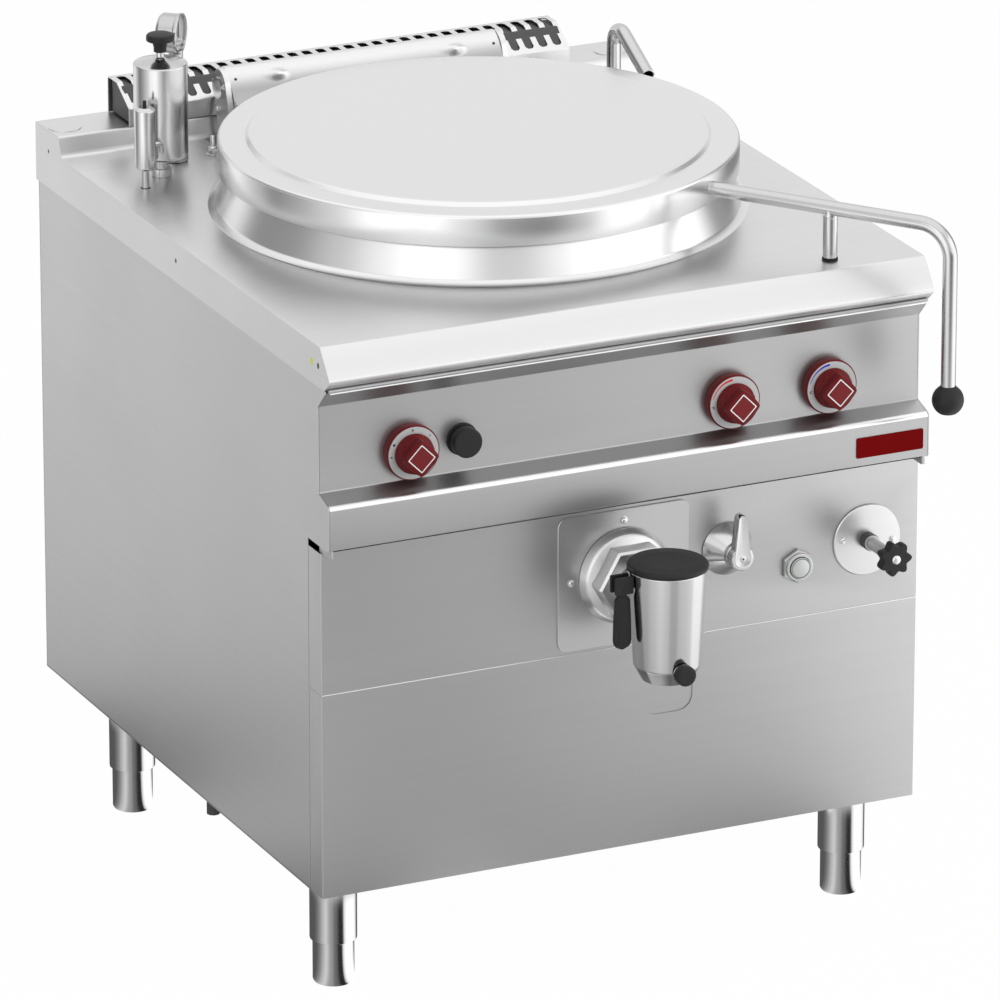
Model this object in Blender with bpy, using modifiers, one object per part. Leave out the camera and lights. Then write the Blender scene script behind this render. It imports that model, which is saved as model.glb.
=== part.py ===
# A gas-heated, steam jacketed kettle: a round vessel with a water jacket in a square steel
# cabinet, with a hinged lid, a flue grille, a drain tap and its controls.
# Metres, +Z up, the front faces -Y. The origin is below the middle of the whole outline, on the floor.

from math import acos, atan2, cos, hypot, pi, radians, sin, tan

import bmesh
import bpy
from mathutils import Vector

for leftover in list(bpy.data.objects):
    bpy.data.objects.remove(leftover)

# Clearances and common stock
gap = 0.0003
overrun = 0.003
weld = 0.00001
sheet = 0.0015
thin_sheet = 0.0012
round_steps = 16
middle_steps = 24
large_steps = 48

# Cabinet, measured from the middle of its floor outline. Heights are given as drops below the
# worktop and rises above it, so that everything on the body moves with the worktop
width = 0.800
depth = 0.900
worktop_height = 0.850
worktop_sheet = 0.002
nosing_drop = 0.0366
nosing_run = 0.0285
nosing_return = 0.017
skirt_height = 0.051
upstand_height = 0.0257
upstand_depth = 0.075
upstand_slope = 0.0077
upstand_fillet = 0.009
edge_radius = 0.004
side_inset = 0.001
panel_inset = 0.0015
body_bottom = 0.1474
body_rear_inset = 0.0063
panel_face_inset = 0.034
panel_return = 0.035
panel_bend = 0.002
seam_drop = 0.4417
upper_panel_drop = 0.261
lip_drop = 0.25
lip_inset = 0.008
lip_top_drop = 0.195
lip_slope = 0.0092
lip_radius = 0.006
lip_return = 0.030
control_inset = 0.0377
control_top_drop = 0.0773
flare_inset = 0.016
flare_gap = 0.0035
tray_edge = 0.025
tray_vent = 0.110
notch_left = 0.0264
notch_width = 0.068
notch_drop = 0.0963
notch_radius = 0.019
tongue_margin = 0.012

# Feet
foot_side_inset = 0.055
foot_front_inset = 0.1225
foot_rear_inset = 0.1548
sleeve_radius = 0.029
sleeve_bottom = 0.0558
sleeve_lid = 0.004
foot_radius = 0.0255
foot_top = 0.105
foot_edge = 0.003

# Vessel, collar and jacket
vessel_setback = -0.0034
vessel_radius = 0.300
vessel_wall = 0.002
drain_rise = 0.0458
vessel_knuckle = 0.030
vessel_dish = 0.012
collar_sheet = 0.0012
collar_space = 0.0055
collar_rise = 0.048
collar_flare = 0.0171
collar_weld_run = 0.0058
collar_hole_run = 0.0038
rim_flange = 0.002
jacket_space = 0.045
jacket_top_drop = 0.06
jacket_shoulder = 0.020
jacket_space_below = 0.04
jacket_knuckle = 0.035
jacket_flange = 0.015
chamber_overlap = 0.105
chamber_vents = 8
chamber_vent_width = 0.070
chamber_vent_height = 0.030
flue_window_width = 0.360
flue_window_height = 0.120
flue_half_width = 0.285
flue_floor_share = 0.346

# Burner and gas pipe
burner_radius = 0.160
burner_tube = 0.016
burner_share = 0.533
burner_leg = 0.006
gas_pipe_radius = 0.0085
gas_pipe_inset = 0.022
gas_pipe_y = -0.040
gas_pipe_end = 0.118
gas_bend = 0.022

# Lid, handle and hinge
lid_overhang = 0.0145
lid_stand = 0.087
lid_skirt = 0.0393
lid_shelf = 0.0356
lid_rise = 0.006
lid_bead = 0.008
lid_edge = 0.003
tube_radius = 0.009
handle_angle = -52.91
handle_rise = 0.0656
handle_run = 0.320
handle_bend = 0.040
peg_run = 0.160
peg_tip_radius = 0.01015
peg_tip_height = 0.008
ball_radius = 0.0195
ball_drop = 0.153
ball_socket = 0.014
hinge_run = 0.0339
hinge_rise = 0.0695
beam_half = 0.186
beam_radius = 0.026
beam_chamber = 0.0145
beam_land = 0.028
shaft_radius = 0.009
shaft_head = 0.005
bracket_sheet = 0.004
bracket_radius = 0.024
bracket_front = 0.046
bracket_rear = 0.005
bracket_foot = 0.026
spring_wire = 0.0017
spring_turns = 7
spring_steps = 8
# Where the fairing's outline turns, from the hinge axis forward and up, as shares of the beam's radius
fairing_shares = [(-1.615, -0.55), (-1.615, -0.46), (-1.31, -0.29), (-1.08, -0.02),
                  (-0.85, 0.33), (-0.65, 0.61), (-0.37, 0.84)]

# Flue grille
grille_half = 0.304
grille_height = 0.0478
grille_wall = 0.0233
grille_rear_inset = 0.006
grille_crest = 0.030
grille_depth = 0.069
grille_bend = 0.004
slot_pitch = 0.0194
slot_width = 0.0115
slots = 31
long_slots_left = 7
long_slots_right = 5
# How far down the slope the long and the short slots reach, as shares of the slope's length
long_slot_share = 0.84
short_slot_share = 0.16
slot_rear_share = 0.30
cap_inset = 0.023
cap_radius = 0.021
cap_height = 0.0008

# Safety valve, air vent and pressure gauge
valve_inset = 0.0875
valve_y = 0.254
valve_radius = 0.0337
valve_rise = 0.0265
valve_shoulder_rise = 0.1455
valve_neck = 0.0052
valve_neck_rise = 0.1535
valve_seat_rise = 0.16
valve_nut_radius = 0.019
valve_nut_height = 0.010
valve_pipe = 0.009
valve_tail = 0.030
valve_stem = 0.009
valve_cap_radius = 0.0172
valve_cap_rise = 0.1736
valve_cap_height = 0.0104
# How the knob's top curves in, as shares of its radius and its height
valve_cap_shares = [(0, 1), (0.6, 0.9), (1, 0.4), (1, 0)]
vent_inset = 0.05
vent_y = 0.2165
vent_radius = 0.0133
vent_rise = 0.1045
vent_top_share = 0.6
vent_pin = 0.0024
vent_pin_height = 0.008
vent_travel = 0.003
vent_pipe = 0.006
gauge_inset = 0.123
gauge_y = 0.303
gauge_rise = 0.1654
gauge_turn = 40.5
gauge_radius = 0.026
gauge_depth = 0.028
gauge_bezel = 0.003
gauge_recess = 0.006
gauge_glass = 0.0015
gauge_pipe = 0.0075
gauge_pipe_offset = 0.006
gauge_branch_rise = 0.065
gauge_branch = 0.005
needle_length = 0.017
needle_tail = 0.006
needle_width = 0.0022
needle_thickness = 0.0008

# Water spout
spout_inset = 0.0896
spout_y = 0.259
spout_rise = 0.1219
spout_reach = 0.110
spout_drop = 0.0365
spout_angle = -93.0
spout_bend = 0.024
spout_bore = 0.0075
spout_nut_corner = 0.016
spout_nut_height = 0.012
spout_tail = 0.030

# Control knobs and igniter
knob_drop = 0.1483
gas_knob_inset = 0.119
cold_knob_inset = 0.2566
hot_knob_inset = 0.126
knob_base_radius = 0.0345
knob_base_depth = 0.0133
knob_grip_radius = 0.0243
knob_grip_depth = 0.0237
knob_corner = 0.022
knob_square_share = 0.6
knob_edge = 0.0015
knob_shaft = 0.004
knob_shaft_length = 0.016
igniter_inset = 0.188
igniter_drop = 0.145
igniter_radius = 0.0184
igniter_depth = 0.020
igniter_ring = 0.0202
igniter_ring_depth = 0.0022
igniter_stem = 0.009
igniter_stroke = 0.004

# Drain tap
tap_rise = 0.0925
tap_plate_half = 0.0877
tap_plate_drop = 0.0881
tap_plate_rise = 0.0842
tap_plate_sheet = 0.002
tap_plate_corner = 0.004
drain_radius = 0.022
drain_bore = 0.0195
flange_radius = 0.061
flange_depth = 0.018
# Where the flange's dome turns, as shares of its radius and its depth
flange_shares = [(0.72, 1), (0.9, 0.72)]
tap_nut_corner = 0.0515
tap_nut_depth = 0.023
tap_axis_reach = 0.122
tap_barrel = 0.030
cup_radius = 0.0485
cup_waist = 0.041
cup_rise = 0.0507
waist_drop = 0.0708
cup_mouth = 0.031
cup_drop = 0.0898
cup_bore = 0.0235
tap_cap_radius = 0.0495
tap_cap_height = 0.008
tap_bracket_width = 0.023
tap_bracket_depth = 0.018
tap_pin_x = 0.060
tap_pin_rise = 0.0342
tap_pin_radius = 0.0025
lever_thickness = 0.008
lever_neck = 0.010
lever_neck_length = 0.008
lever_length = 0.079
lever_top_width = 0.020
lever_end_width = 0.023
tap_button_radius = 0.0126
tap_reach = 0.177
tap_button_depth = 0.0115
tap_boss_radius = 0.011

# Level cock, push button and filling valve
cock_x = 0.1395
cock_rise = 0.1044
cock_radius = 0.034
cock_hub = 0.0154
cock_depth = 0.044
cock_handle_depth = 0.0135
cock_handle_length = 0.056
cock_handle_end = 0.0115
cock_pin = 0.005
button_x = 0.2343
button_rise = 0.0669
button_nut_corner = 0.022
button_nut_depth = 0.006
button_bezel = 0.0179
button_bezel_depth = 0.010
button_bezel_wall = 0.004
button_depth = 0.0125
button_stroke = 0.002
button_barrel = 0.012
fill_inset = 0.0712
fill_rise = 0.0860
fill_flange_radius = 0.0456
fill_flange_depth = 0.003
fill_sleeve = 0.0100
fill_knob_reach = 0.0735
fill_knob_radius = 0.022
fill_knob_depth = 0.014
fill_knob_lobes = 7
fill_knob_wave = 0.0028
fill_shaft = 0.004
fill_cap = 0.008
fill_cap_height = 0.003
fill_cap_share = 0.7

# Places that follow from the sizes above
front = -depth / 2
rear = depth / 2
panel_y = front + panel_face_inset
control_y = front + control_inset
lip_y = front + lip_inset
body_rear = rear - body_rear_inset
worktop_under = worktop_height - worktop_sheet
control_top = worktop_height - control_top_drop
lip_top = worktop_height - lip_top_drop
lip_bottom = worktop_height - lip_drop
upper_panel_top = worktop_height - upper_panel_drop
panel_seam = worktop_height - seam_drop
jacket_top = worktop_height - jacket_top_drop
ball_height = worktop_height - ball_drop
knob_height = worktop_height - knob_drop
igniter_z = worktop_height - igniter_drop
collar_break = worktop_height + collar_rise
lid_top = worktop_height + lid_stand
handle_height = worktop_height + handle_rise
hinge_z = worktop_height + hinge_rise
valve_bottom = worktop_height + valve_rise
valve_shoulder = worktop_height + valve_shoulder_rise
valve_neck_bottom = worktop_height + valve_neck_rise
valve_neck_top = worktop_height + valve_seat_rise
valve_cap_bottom = worktop_height + valve_cap_rise
vent_top = worktop_height + vent_rise
gauge_z = worktop_height + gauge_rise
gauge_branch_height = worktop_height + gauge_branch_rise
spout_top = worktop_height + spout_rise
upstand_top = worktop_height + upstand_height
lid_under = lid_top - sheet
rim_top = lid_under - gap
collar_top = rim_top - rim_flange - gap
collar_radius = vessel_radius + collar_space
collar_foot = collar_radius + collar_flare
collar_weld = collar_foot + collar_weld_run
collar_hole = collar_foot + collar_hole_run
jacket_radius = vessel_radius + jacket_space
lid_radius = collar_radius + lid_overhang
lid_disc = lid_radius - lid_shelf
hinge_y = vessel_setback + lid_radius + hinge_run
handle_reach = lid_radius + handle_run
peg_reach = lid_radius + peg_run
handle_x = handle_reach * cos(radians(handle_angle))
notch_bottom = panel_seam - notch_drop
tap_height = panel_seam + tap_rise
cock_z = panel_seam + cock_rise
button_z = panel_seam + button_rise
fill_z = panel_seam + fill_rise
cup_top = tap_height + cup_rise
cup_waist_height = tap_height - waist_drop
cup_bottom = tap_height - cup_drop
tap_pin_z = tap_height + tap_pin_rise
vessel_floor = tap_height - drain_rise
jacket_floor = vessel_floor - jacket_space_below
chamber_top = jacket_floor + chamber_overlap
burner_height = body_bottom + (jacket_floor - body_bottom) * burner_share
flue_floor = body_bottom + (jacket_floor - body_bottom) * flue_floor_share
gas_pipe_x = gas_pipe_inset - width / 2
cap_x = width / 2 - cap_inset
valve_x = valve_inset - width / 2
vent_x = vent_inset - width / 2
gauge_x = gauge_inset - width / 2
spout_x = width / 2 - spout_inset
gas_knob_x = gas_knob_inset - width / 2
igniter_x = igniter_inset - width / 2
cold_knob_x = width / 2 - cold_knob_inset
hot_knob_x = width / 2 - hot_knob_inset
fill_x = width / 2 - fill_inset
foot_spread = width - 2 * foot_side_inset
panel_back = panel_y + thin_sheet

parts = bpy.data.collections.new("steam_jacketed_kettle")
cutters = bpy.data.collections.new("cutters")
bpy.context.scene.collection.children.link(parts)
bpy.context.scene.collection.children.link(cutters)

along_x = (pi / 2, 0, pi / 2)
facing_front = (pi / 2, 0, 0)


# Materials
def material(name, colour, roughness, metallic):
    made = bpy.data.materials.new(name)
    made.use_nodes = True
    shader = made.node_tree.nodes["Principled BSDF"]
    shader.inputs["Base Color"].default_value = (*colour, 1)
    shader.inputs["Roughness"].default_value = roughness
    shader.inputs["Metallic"].default_value = metallic
    return made


brushed = material("brushed_steel", (0.62, 0.62, 0.62), 0.35, 1)
polished = material("polished_steel", (0.78, 0.78, 0.78), 0.12, 1)
dull = material("dull_steel", (0.42, 0.42, 0.42), 0.5, 1)
black = material("black_plastic", (0.03, 0.03, 0.03), 0.45, 0)
rubber = material("black_rubber", (0.02, 0.02, 0.02), 0.8, 0)
red = material("red_plastic", (0.45, 0.05, 0.06), 0.35, 0)
iron = material("cast_iron", (0.15, 0.15, 0.16), 0.7, 1)
glass = material("clear_glass", (0.9, 0.93, 0.93), 0.05, 0)


# Outlines, all of them lists of (across, up) points
def arc(centre, radius, start, end, steps):
    turns = [radians(start + (end - start) * step / steps) for step in range(steps + 1)]
    return [(centre[0] + radius * cos(turn), centre[1] + radius * sin(turn)) for turn in turns]


def rounded(points, radii, steps=3, closed=False):
    # Each corner with a radius becomes an arc that meets both of its sides
    count = len(points)
    outline = []
    for index, (corner, radius) in enumerate(zip(points, radii)):
        if not radius or (not closed and index in (0, count - 1)):
            outline.append(tuple(corner))
            continue
        corner = Vector(corner)
        back = (Vector(points[index - 1]) - corner).normalized()
        ahead = (Vector(points[(index + 1) % count]) - corner).normalized()
        half = acos(max(-1, min(1, back.dot(ahead)))) / 2
        centre = corner + (back + ahead).normalized() * radius / sin(half)
        first = corner + back * radius / tan(half) - centre
        last = corner + ahead * radius / tan(half) - centre
        start = atan2(first.y, first.x)
        sweep = (atan2(last.y, last.x) - start + pi) % (2 * pi) - pi
        for step in range(steps + 1):
            turn = start + sweep * step / steps
            outline.append((centre.x + radius * cos(turn), centre.y + radius * sin(turn)))
    return outline


def beside(path, distance):
    # The same path moved to its left by a distance, with its corners kept
    normals = []
    for start, end in zip(path, path[1:]):
        length = hypot(end[0] - start[0], end[1] - start[1])
        normals.append(Vector(((start[1] - end[1]) / length, (end[0] - start[0]) / length)))
    moved = []
    for index, point in enumerate(path):
        first = normals[max(index - 1, 0)]
        second = normals[min(index, len(normals) - 1)]
        shift = (first + second) * distance / (1 + first.dot(second))
        moved.append((point[0] + shift.x, point[1] + shift.y))
    return moved


def sheet_section(path, thickness):
    return path + beside(path, thickness)[::-1]


def rectangle(low, high):
    return [(low[0], low[1]), (high[0], low[1]), (high[0], high[1]), (low[0], high[1])]


def regular(corner, sides, start):
    return arc((0, 0), corner, start, start + 360 - 360 / sides, sides - 1)


# Solids
def add(name, mesh, where):
    made = bpy.data.objects.new(name, mesh)
    where.objects.link(made)
    if where is cutters:
        made.hide_render = True
        made.display_type = "WIRE"
    return made


def finish(made, parent, place, turn=(0, 0, 0), surface=None):
    made.rotation_euler = turn
    made.location = Vector(place) - Vector(parent.get("stands_at", (0, 0, 0)))
    made.parent = parent
    if surface:
        made.data.materials.append(surface)
        if made.data.polygons:
            made.data.shade_smooth()
            made.data.set_sharp_from_angle(angle=radians(30))
    return made


def turned(name, profile, steps, closed=False, where=parts):
    # The profile runs down the outer side, and up the inner side where there is one
    mesh = bpy.data.meshes.new(name)
    edges = [(index, index + 1) for index in range(len(profile) - 1)]
    if closed:
        edges.append((len(profile) - 1, 0))
    mesh.from_pydata([(across, 0, up) for across, up in profile], edges, [])
    made = add(name, mesh, where)
    screw = made.modifiers.new("Turn", "SCREW")
    screw.steps = screw.render_steps = steps
    screw.use_merge_vertices = True
    screw.merge_threshold = weld
    screw.use_smooth_shade = True
    return made


def cylinder(name, radius, bottom, top, steps=round_steps, where=parts):
    return turned(name, [(0, top), (radius, top), (radius, bottom), (0, bottom)], steps, where=where)


def as_mesh(curve_object, where):
    seen = curve_object.evaluated_get(bpy.context.evaluated_depsgraph_get())
    mesh = bpy.data.meshes.new_from_object(seen)
    name = curve_object.name
    bpy.data.objects.remove(curve_object)
    work = bmesh.new()
    work.from_mesh(mesh)
    bmesh.ops.remove_doubles(work, verts=work.verts, dist=weld)
    bmesh.ops.recalc_face_normals(work, faces=work.faces)
    work.to_mesh(mesh)
    work.free()
    return add(name, mesh, where)


def plate(name, outlines, bottom, top, where=parts):
    # Flat outlines, the first one filled and the others holes in it, between two heights
    curve = bpy.data.curves.new(name, "CURVE")
    curve.dimensions = "2D"
    curve.fill_mode = "BOTH"
    curve.extrude = (top - bottom) / 2
    for outline in outlines:
        spline = curve.splines.new("POLY")
        spline.points.add(len(outline) - 1)
        for point, (across, up) in zip(spline.points, outline):
            point.co = (across, up, 0, 1)
        spline.use_cyclic_u = True
    made = as_mesh(add(name, curve, where), where)
    for vertex in made.data.vertices:
        vertex.co.z += (top + bottom) / 2
    return made


def box(name, low, high, where=parts):
    mesh = bpy.data.meshes.new(name)
    work = bmesh.new()
    bmesh.ops.create_cube(work, size=1)
    for vertex in work.verts:
        vertex.co = [(a + b) / 2 + (b - a) * share for a, b, share in zip(low, high, vertex.co)]
    work.to_mesh(mesh)
    work.free()
    return add(name, mesh, where)


def tube(name, points, radius, fineness=3, where=parts):
    curve = bpy.data.curves.new(name, "CURVE")
    curve.dimensions = "3D"
    curve.bevel_depth = radius
    curve.bevel_resolution = fineness
    curve.use_fill_caps = True
    spline = curve.splines.new("POLY")
    spline.points.add(len(points) - 1)
    for point, place in zip(spline.points, points):
        point.co = (*place, 1)
    return as_mesh(add(name, curve, where), where)


def loft(name, rings, where=parts):
    # Rings of equally many points, joined one after the other and closed at both ends
    mesh = bpy.data.meshes.new(name)
    count = len(rings[0])
    faces = [tuple(range(count))[::-1]]
    for ring in range(len(rings) - 1):
        low = ring * count
        for index in range(count):
            following = (index + 1) % count
            faces.append((low + index, low + following, low + count + following, low + count + index))
    faces.append(tuple(range((len(rings) - 1) * count, len(rings) * count)))
    mesh.from_pydata([point for ring in rings for point in ring], [], faces)
    return add(name, mesh, where)


def bend(before, corner, after, radius, steps=5):
    # Points of a tube's centre line round a corner between two straight runs
    corner = Vector(corner)
    back = (Vector(before) - corner).normalized()
    ahead = (Vector(after) - corner).normalized()
    half = acos(back.dot(ahead)) / 2
    centre = corner + (back + ahead).normalized() * radius / sin(half)
    first = (corner + back * radius / tan(half) - centre) / radius
    middle = (corner - centre).normalized()
    side = (middle - first * middle.dot(first)).normalized()
    sweep = pi - 2 * half
    turns = [sweep * step / steps for step in range(steps + 1)]
    return [centre + (first * cos(turn) + side * sin(turn)) * radius for turn in turns]


def change(made, operation, others):
    for other in others:
        step = made.modifiers.new(operation.title(), "BOOLEAN")
        step.operation = operation
        step.solver = "EXACT"
        step.object = other
        other.hide_render = True
        other.display_type = "WIRE"
    return made


def cut(made, *others):
    return change(made, "DIFFERENCE", others)


def join(made, *others):
    return change(made, "UNION", others)


def axis_empty(name, place, parent=None):
    made = bpy.data.objects.new(name, None)
    made.empty_display_size = beam_radius
    parts.objects.link(made)
    made["stands_at"] = place
    made.location = Vector(place) - Vector(parent["stands_at"] if parent else (0, 0, 0))
    made.parent = parent
    return made


# Everything stands on one empty, which puts the middle of the outline over the origin
root = axis_empty("kettle", (0, 0, 0))
ball_side = handle_x + ball_radius
root.location = (
    -(max(width / 2, ball_side) - width / 2) / 2,
    -(rear + panel_y - tap_reach) / 2,
    0,
)
lid_axis = axis_empty("lid_axis", (0, hinge_y, hinge_z), root)


def control_profile():
    # The control panel's face from its flared top down to the lip's return, as (y, z)
    path = [
        (front + flare_inset, worktop_height - skirt_height - flare_gap),
        (control_y, control_top),
        (control_y, lip_top + lip_slope),
        (lip_y, lip_top),
        (lip_y, lip_bottom),
        (lip_y + lip_return, lip_bottom),
    ]
    return rounded(path, [0, panel_bend, panel_bend, lip_radius, panel_bend, 0])


def build_worktop():
    # A deep-drawn sheet with a nosing, an upstand and side skirts, and the vessel's welded collar
    path = rounded(
        [
            (front + nosing_return, worktop_height - skirt_height),
            (front, worktop_height - nosing_drop),
            (front + nosing_run, worktop_height),
            (rear - upstand_depth - upstand_slope, worktop_height),
            (rear - upstand_depth, upstand_top),
            (rear, upstand_top),
            (rear, worktop_height - skirt_height),
        ],
        [0, edge_radius, edge_radius, upstand_fillet, edge_radius, edge_radius, 0],
    )
    half = width / 2
    worktop = plate("worktop", [path[::-1]], -half, half)
    inner = beside(path, -worktop_sheet)
    floor = worktop_height - skirt_height - overrun
    inner = [(inner[0][0], floor)] + inner + [(inner[-1][0], floor)]
    hollow = plate("worktop_hollow", [inner[::-1]], worktop_sheet - half, half - worktop_sheet, cutters)
    opening = cylinder("collar_opening", collar_hole, worktop_under - overrun,
                       worktop_height + overrun, large_steps, cutters)
    seat = worktop_height - (worktop_sheet - collar_sheet) / 2
    corners = [(collar_radius, collar_top), (collar_radius, collar_break), (collar_foot, seat),
               (collar_weld, seat)]
    wall = rounded(corners, [0, 0, edge_radius, 0], 2)
    collar = turned("collar", wall + beside(corners, -collar_sheet)[::-1], large_steps, True, cutters)
    flue_front = rear - upstand_depth + worktop_sheet + edge_radius
    flue = box("flue_opening", (-flue_half_width, flue_front, worktop_height),
               (flue_half_width, rear - worktop_sheet - edge_radius, upstand_top + overrun), cutters)
    valve_hole = cylinder("valve_hole", valve_pipe + gap, worktop_under - overrun,
                          worktop_height + overrun, where=cutters)
    vent_hole = cylinder("vent_hole", vent_pipe + gap, worktop_under - overrun,
                         worktop_height + overrun, where=cutters)
    spout_hole = cylinder("spout_hole", tube_radius + gap, worktop_under - overrun,
                          worktop_height + overrun, where=cutters)
    gauge_hole = cylinder("gauge_hole", gauge_pipe + gap, worktop_under - overrun,
                          worktop_height + overrun, where=cutters)
    finish(worktop, root, (0, 0, 0), along_x, brushed)
    finish(hollow, root, (0, 0, 0), along_x)
    finish(flue, root, (0, 0, 0))
    for made in (opening, collar):
        finish(made, root, (0, vessel_setback, 0))
    finish(valve_hole, root, (valve_x, valve_y, 0))
    finish(vent_hole, root, (vent_x, vent_y, 0))
    finish(spout_hole, root, (spout_x, spout_y, 0))
    finish(gauge_hole, root, (*gauge_pipe_place(), 0))
    caps = []
    for side in (-1, 1):
        cap = cylinder("cover_cap", cap_radius, upstand_top - worktop_sheet / 2,
                       upstand_top + cap_height, middle_steps, cutters)
        finish(cap, root, (side * cap_x, (grille_front() + rear - grille_rear_inset) / 2, 0))
        caps.append(cap)
    cut(worktop, hollow, opening, flue, valve_hole, vent_hole, spout_hole, gauge_hole)
    join(worktop, collar, *caps)


def build_side_panels():
    # Flat sheets whose front edge follows the control panel and steps back beside the front panels
    profile = control_profile()
    bottom = body_bottom + sheet + gap
    top = worktop_height - skirt_height - gap
    setback = panel_y + panel_return + gap
    step = lip_bottom - sheet
    outline = [(profile[0][0], top)] + profile[:-1] + [
        (profile[-2][0], step), (setback, step), (setback, bottom),
        (body_rear - sheet - gap, bottom), (body_rear - sheet - gap, top),
    ]
    outer = width / 2 - side_inset
    for side, name in ((-1, "side_panel_left"), (1, "side_panel_right")):
        low, high = sorted((side * outer, side * (outer - sheet)))
        finish(plate(name, [outline], low, high), root, (0, 0, 0), along_x, brushed)


def build_back_and_base():
    outer = width / 2 - side_inset
    top = worktop_height - skirt_height - gap
    back = plate("rear_panel", [rectangle((-outer, body_bottom + sheet + gap), (outer, top))], 0, sheet)
    finish(back, root, (0, body_rear, 0), facing_front, brushed)

    tray_front = panel_y + panel_return + gap
    tray = box("base_tray", (-outer, tray_front, body_bottom), (outer, body_rear, body_bottom + sheet))
    inner = outer - sheet - gap
    inner_rear = body_rear - sheet - gap
    rim = box("tray_rim", (-inner, tray_front + gap, body_bottom + sheet / 2),
              (inner, inner_rear, body_bottom + tray_edge), cutters)
    hollow = box("tray_hollow", (sheet - inner, tray_front + gap + sheet, body_bottom + sheet),
                 (inner - sheet, inner_rear - sheet, body_bottom + tray_edge + overrun), cutters)
    vent = cylinder("tray_vent", tray_vent, body_bottom - overrun, body_bottom + overrun,
                    middle_steps, cutters)
    inlet = cylinder("gas_inlet", gas_pipe_radius + gap, body_bottom - overrun,
                     body_bottom + overrun, where=cutters)
    inside = width / 2 - panel_inset - thin_sheet - gap
    lip = box("tray_lip", (-inside, panel_back + gap, body_bottom),
              (inside, tray_front + sheet, body_bottom + sheet), cutters)
    for made in (rim, hollow, lip):
        finish(made, root, (0, 0, 0))
    finish(vent, root, (0, vessel_setback, 0))
    finish(inlet, root, (gas_pipe_x, gas_pipe_y, 0))
    finish(tray, root, (0, 0, 0), surface=dull)
    join(tray, rim, lip)
    cut(tray, hollow, vent, inlet)


def build_control_panel():
    # One folded sheet between the side panels, with a hole for each control
    half = width / 2 - side_inset - sheet - gap
    panel = plate("control_panel", [sheet_section(control_profile(), sheet)], -half, half)
    finish(panel, root, (0, 0, 0), along_x, brushed)
    holes = [(gas_knob_x, knob_height, knob_shaft), (cold_knob_x, knob_height, knob_shaft),
             (hot_knob_x, knob_height, knob_shaft), (igniter_x, igniter_z, igniter_stem)]
    for across, up, radius in holes:
        hole = cylinder("control_hole", radius + gap, -sheet - overrun, overrun, where=cutters)
        finish(hole, root, (across, control_y, up), facing_front)
        cut(panel, hole)


def front_sheet(name, bottom, top):
    # A panel folded back on both sides
    half = width / 2 - panel_inset
    path = rounded(
        [(half, panel_y + panel_return), (half, panel_y), (-half, panel_y), (-half, panel_y + panel_return)],
        [0, panel_bend, panel_bend, 0],
    )
    panel = plate(name, [sheet_section(path, -thin_sheet)], bottom, top)
    return finish(panel, root, (0, 0, 0), surface=brushed)


def build_front_panels():
    upper = front_sheet("upper_front_panel", panel_seam + gap, upper_panel_top)
    lower = front_sheet("lower_front_panel", body_bottom, panel_seam)
    notch = plate("notch", [rounded(
        [(notch_left, panel_seam + overrun), (notch_left, notch_bottom),
         (notch_left + notch_width, notch_bottom), (notch_left + notch_width, panel_seam + overrun)],
        [0, notch_radius, notch_radius, 0], 5)], -sheet - overrun, overrun, cutters)
    finish(notch, root, (0, panel_y, 0), facing_front)
    cut(lower, notch)
    # The upper panel's tongue closes the notch from behind
    low_x = notch_left - tongue_margin
    high_x = notch_left + notch_width + tongue_margin
    tongue = box("tongue", (low_x, panel_back + gap, notch_bottom - tongue_margin),
                 (high_x, panel_back + gap + thin_sheet, panel_seam + tongue_margin), cutters)
    joggle = box("joggle", (low_x, panel_back - thin_sheet / 2, panel_seam + tongue_margin / 2),
                 (high_x, panel_back + gap + thin_sheet / 2, panel_seam + tongue_margin), cutters)
    finish(tongue, root, (0, 0, 0))
    finish(joggle, root, (0, 0, 0))
    join(upper, joggle, tongue)
    holes = [(0, tap_height, drain_radius), (cock_x, cock_z, cock_pin),
             (button_x, button_z, button_barrel), (fill_x, fill_z, fill_sleeve)]
    for across, up, radius in holes:
        hole = cylinder("panel_hole", radius + gap, -thin_sheet - overrun, overrun, where=cutters)
        finish(hole, root, (across, panel_y, up), facing_front)
        cut(upper, hole)


def build_feet():
    # Each foot slides in a sleeve that hangs under the base
    sleeve_top = body_bottom - gap
    for side, across in (("left", -foot_spread / 2), ("right", foot_spread / 2)):
        for end, along in (("front", front + foot_front_inset), ("rear", rear - foot_rear_inset)):
            sleeve = turned("foot_sleeve_" + end + "_" + side, [
                (0, sleeve_top), (sleeve_radius, sleeve_top), (sleeve_radius, sleeve_bottom + foot_edge),
                (sleeve_radius - foot_edge / 3, sleeve_bottom), (foot_radius + gap, sleeve_bottom),
                (foot_radius + gap, sleeve_top - sleeve_lid), (0, sleeve_top - sleeve_lid)], round_steps)
            foot = turned("foot_" + end + "_" + side, [
                (0, foot_top), (foot_radius, foot_top), (foot_radius, foot_edge),
                (foot_radius - foot_edge, 0), (0, 0)], round_steps)
            finish(sleeve, root, (across, along, 0), surface=brushed)
            finish(foot, root, (across, along, 0), surface=dull)


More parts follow.
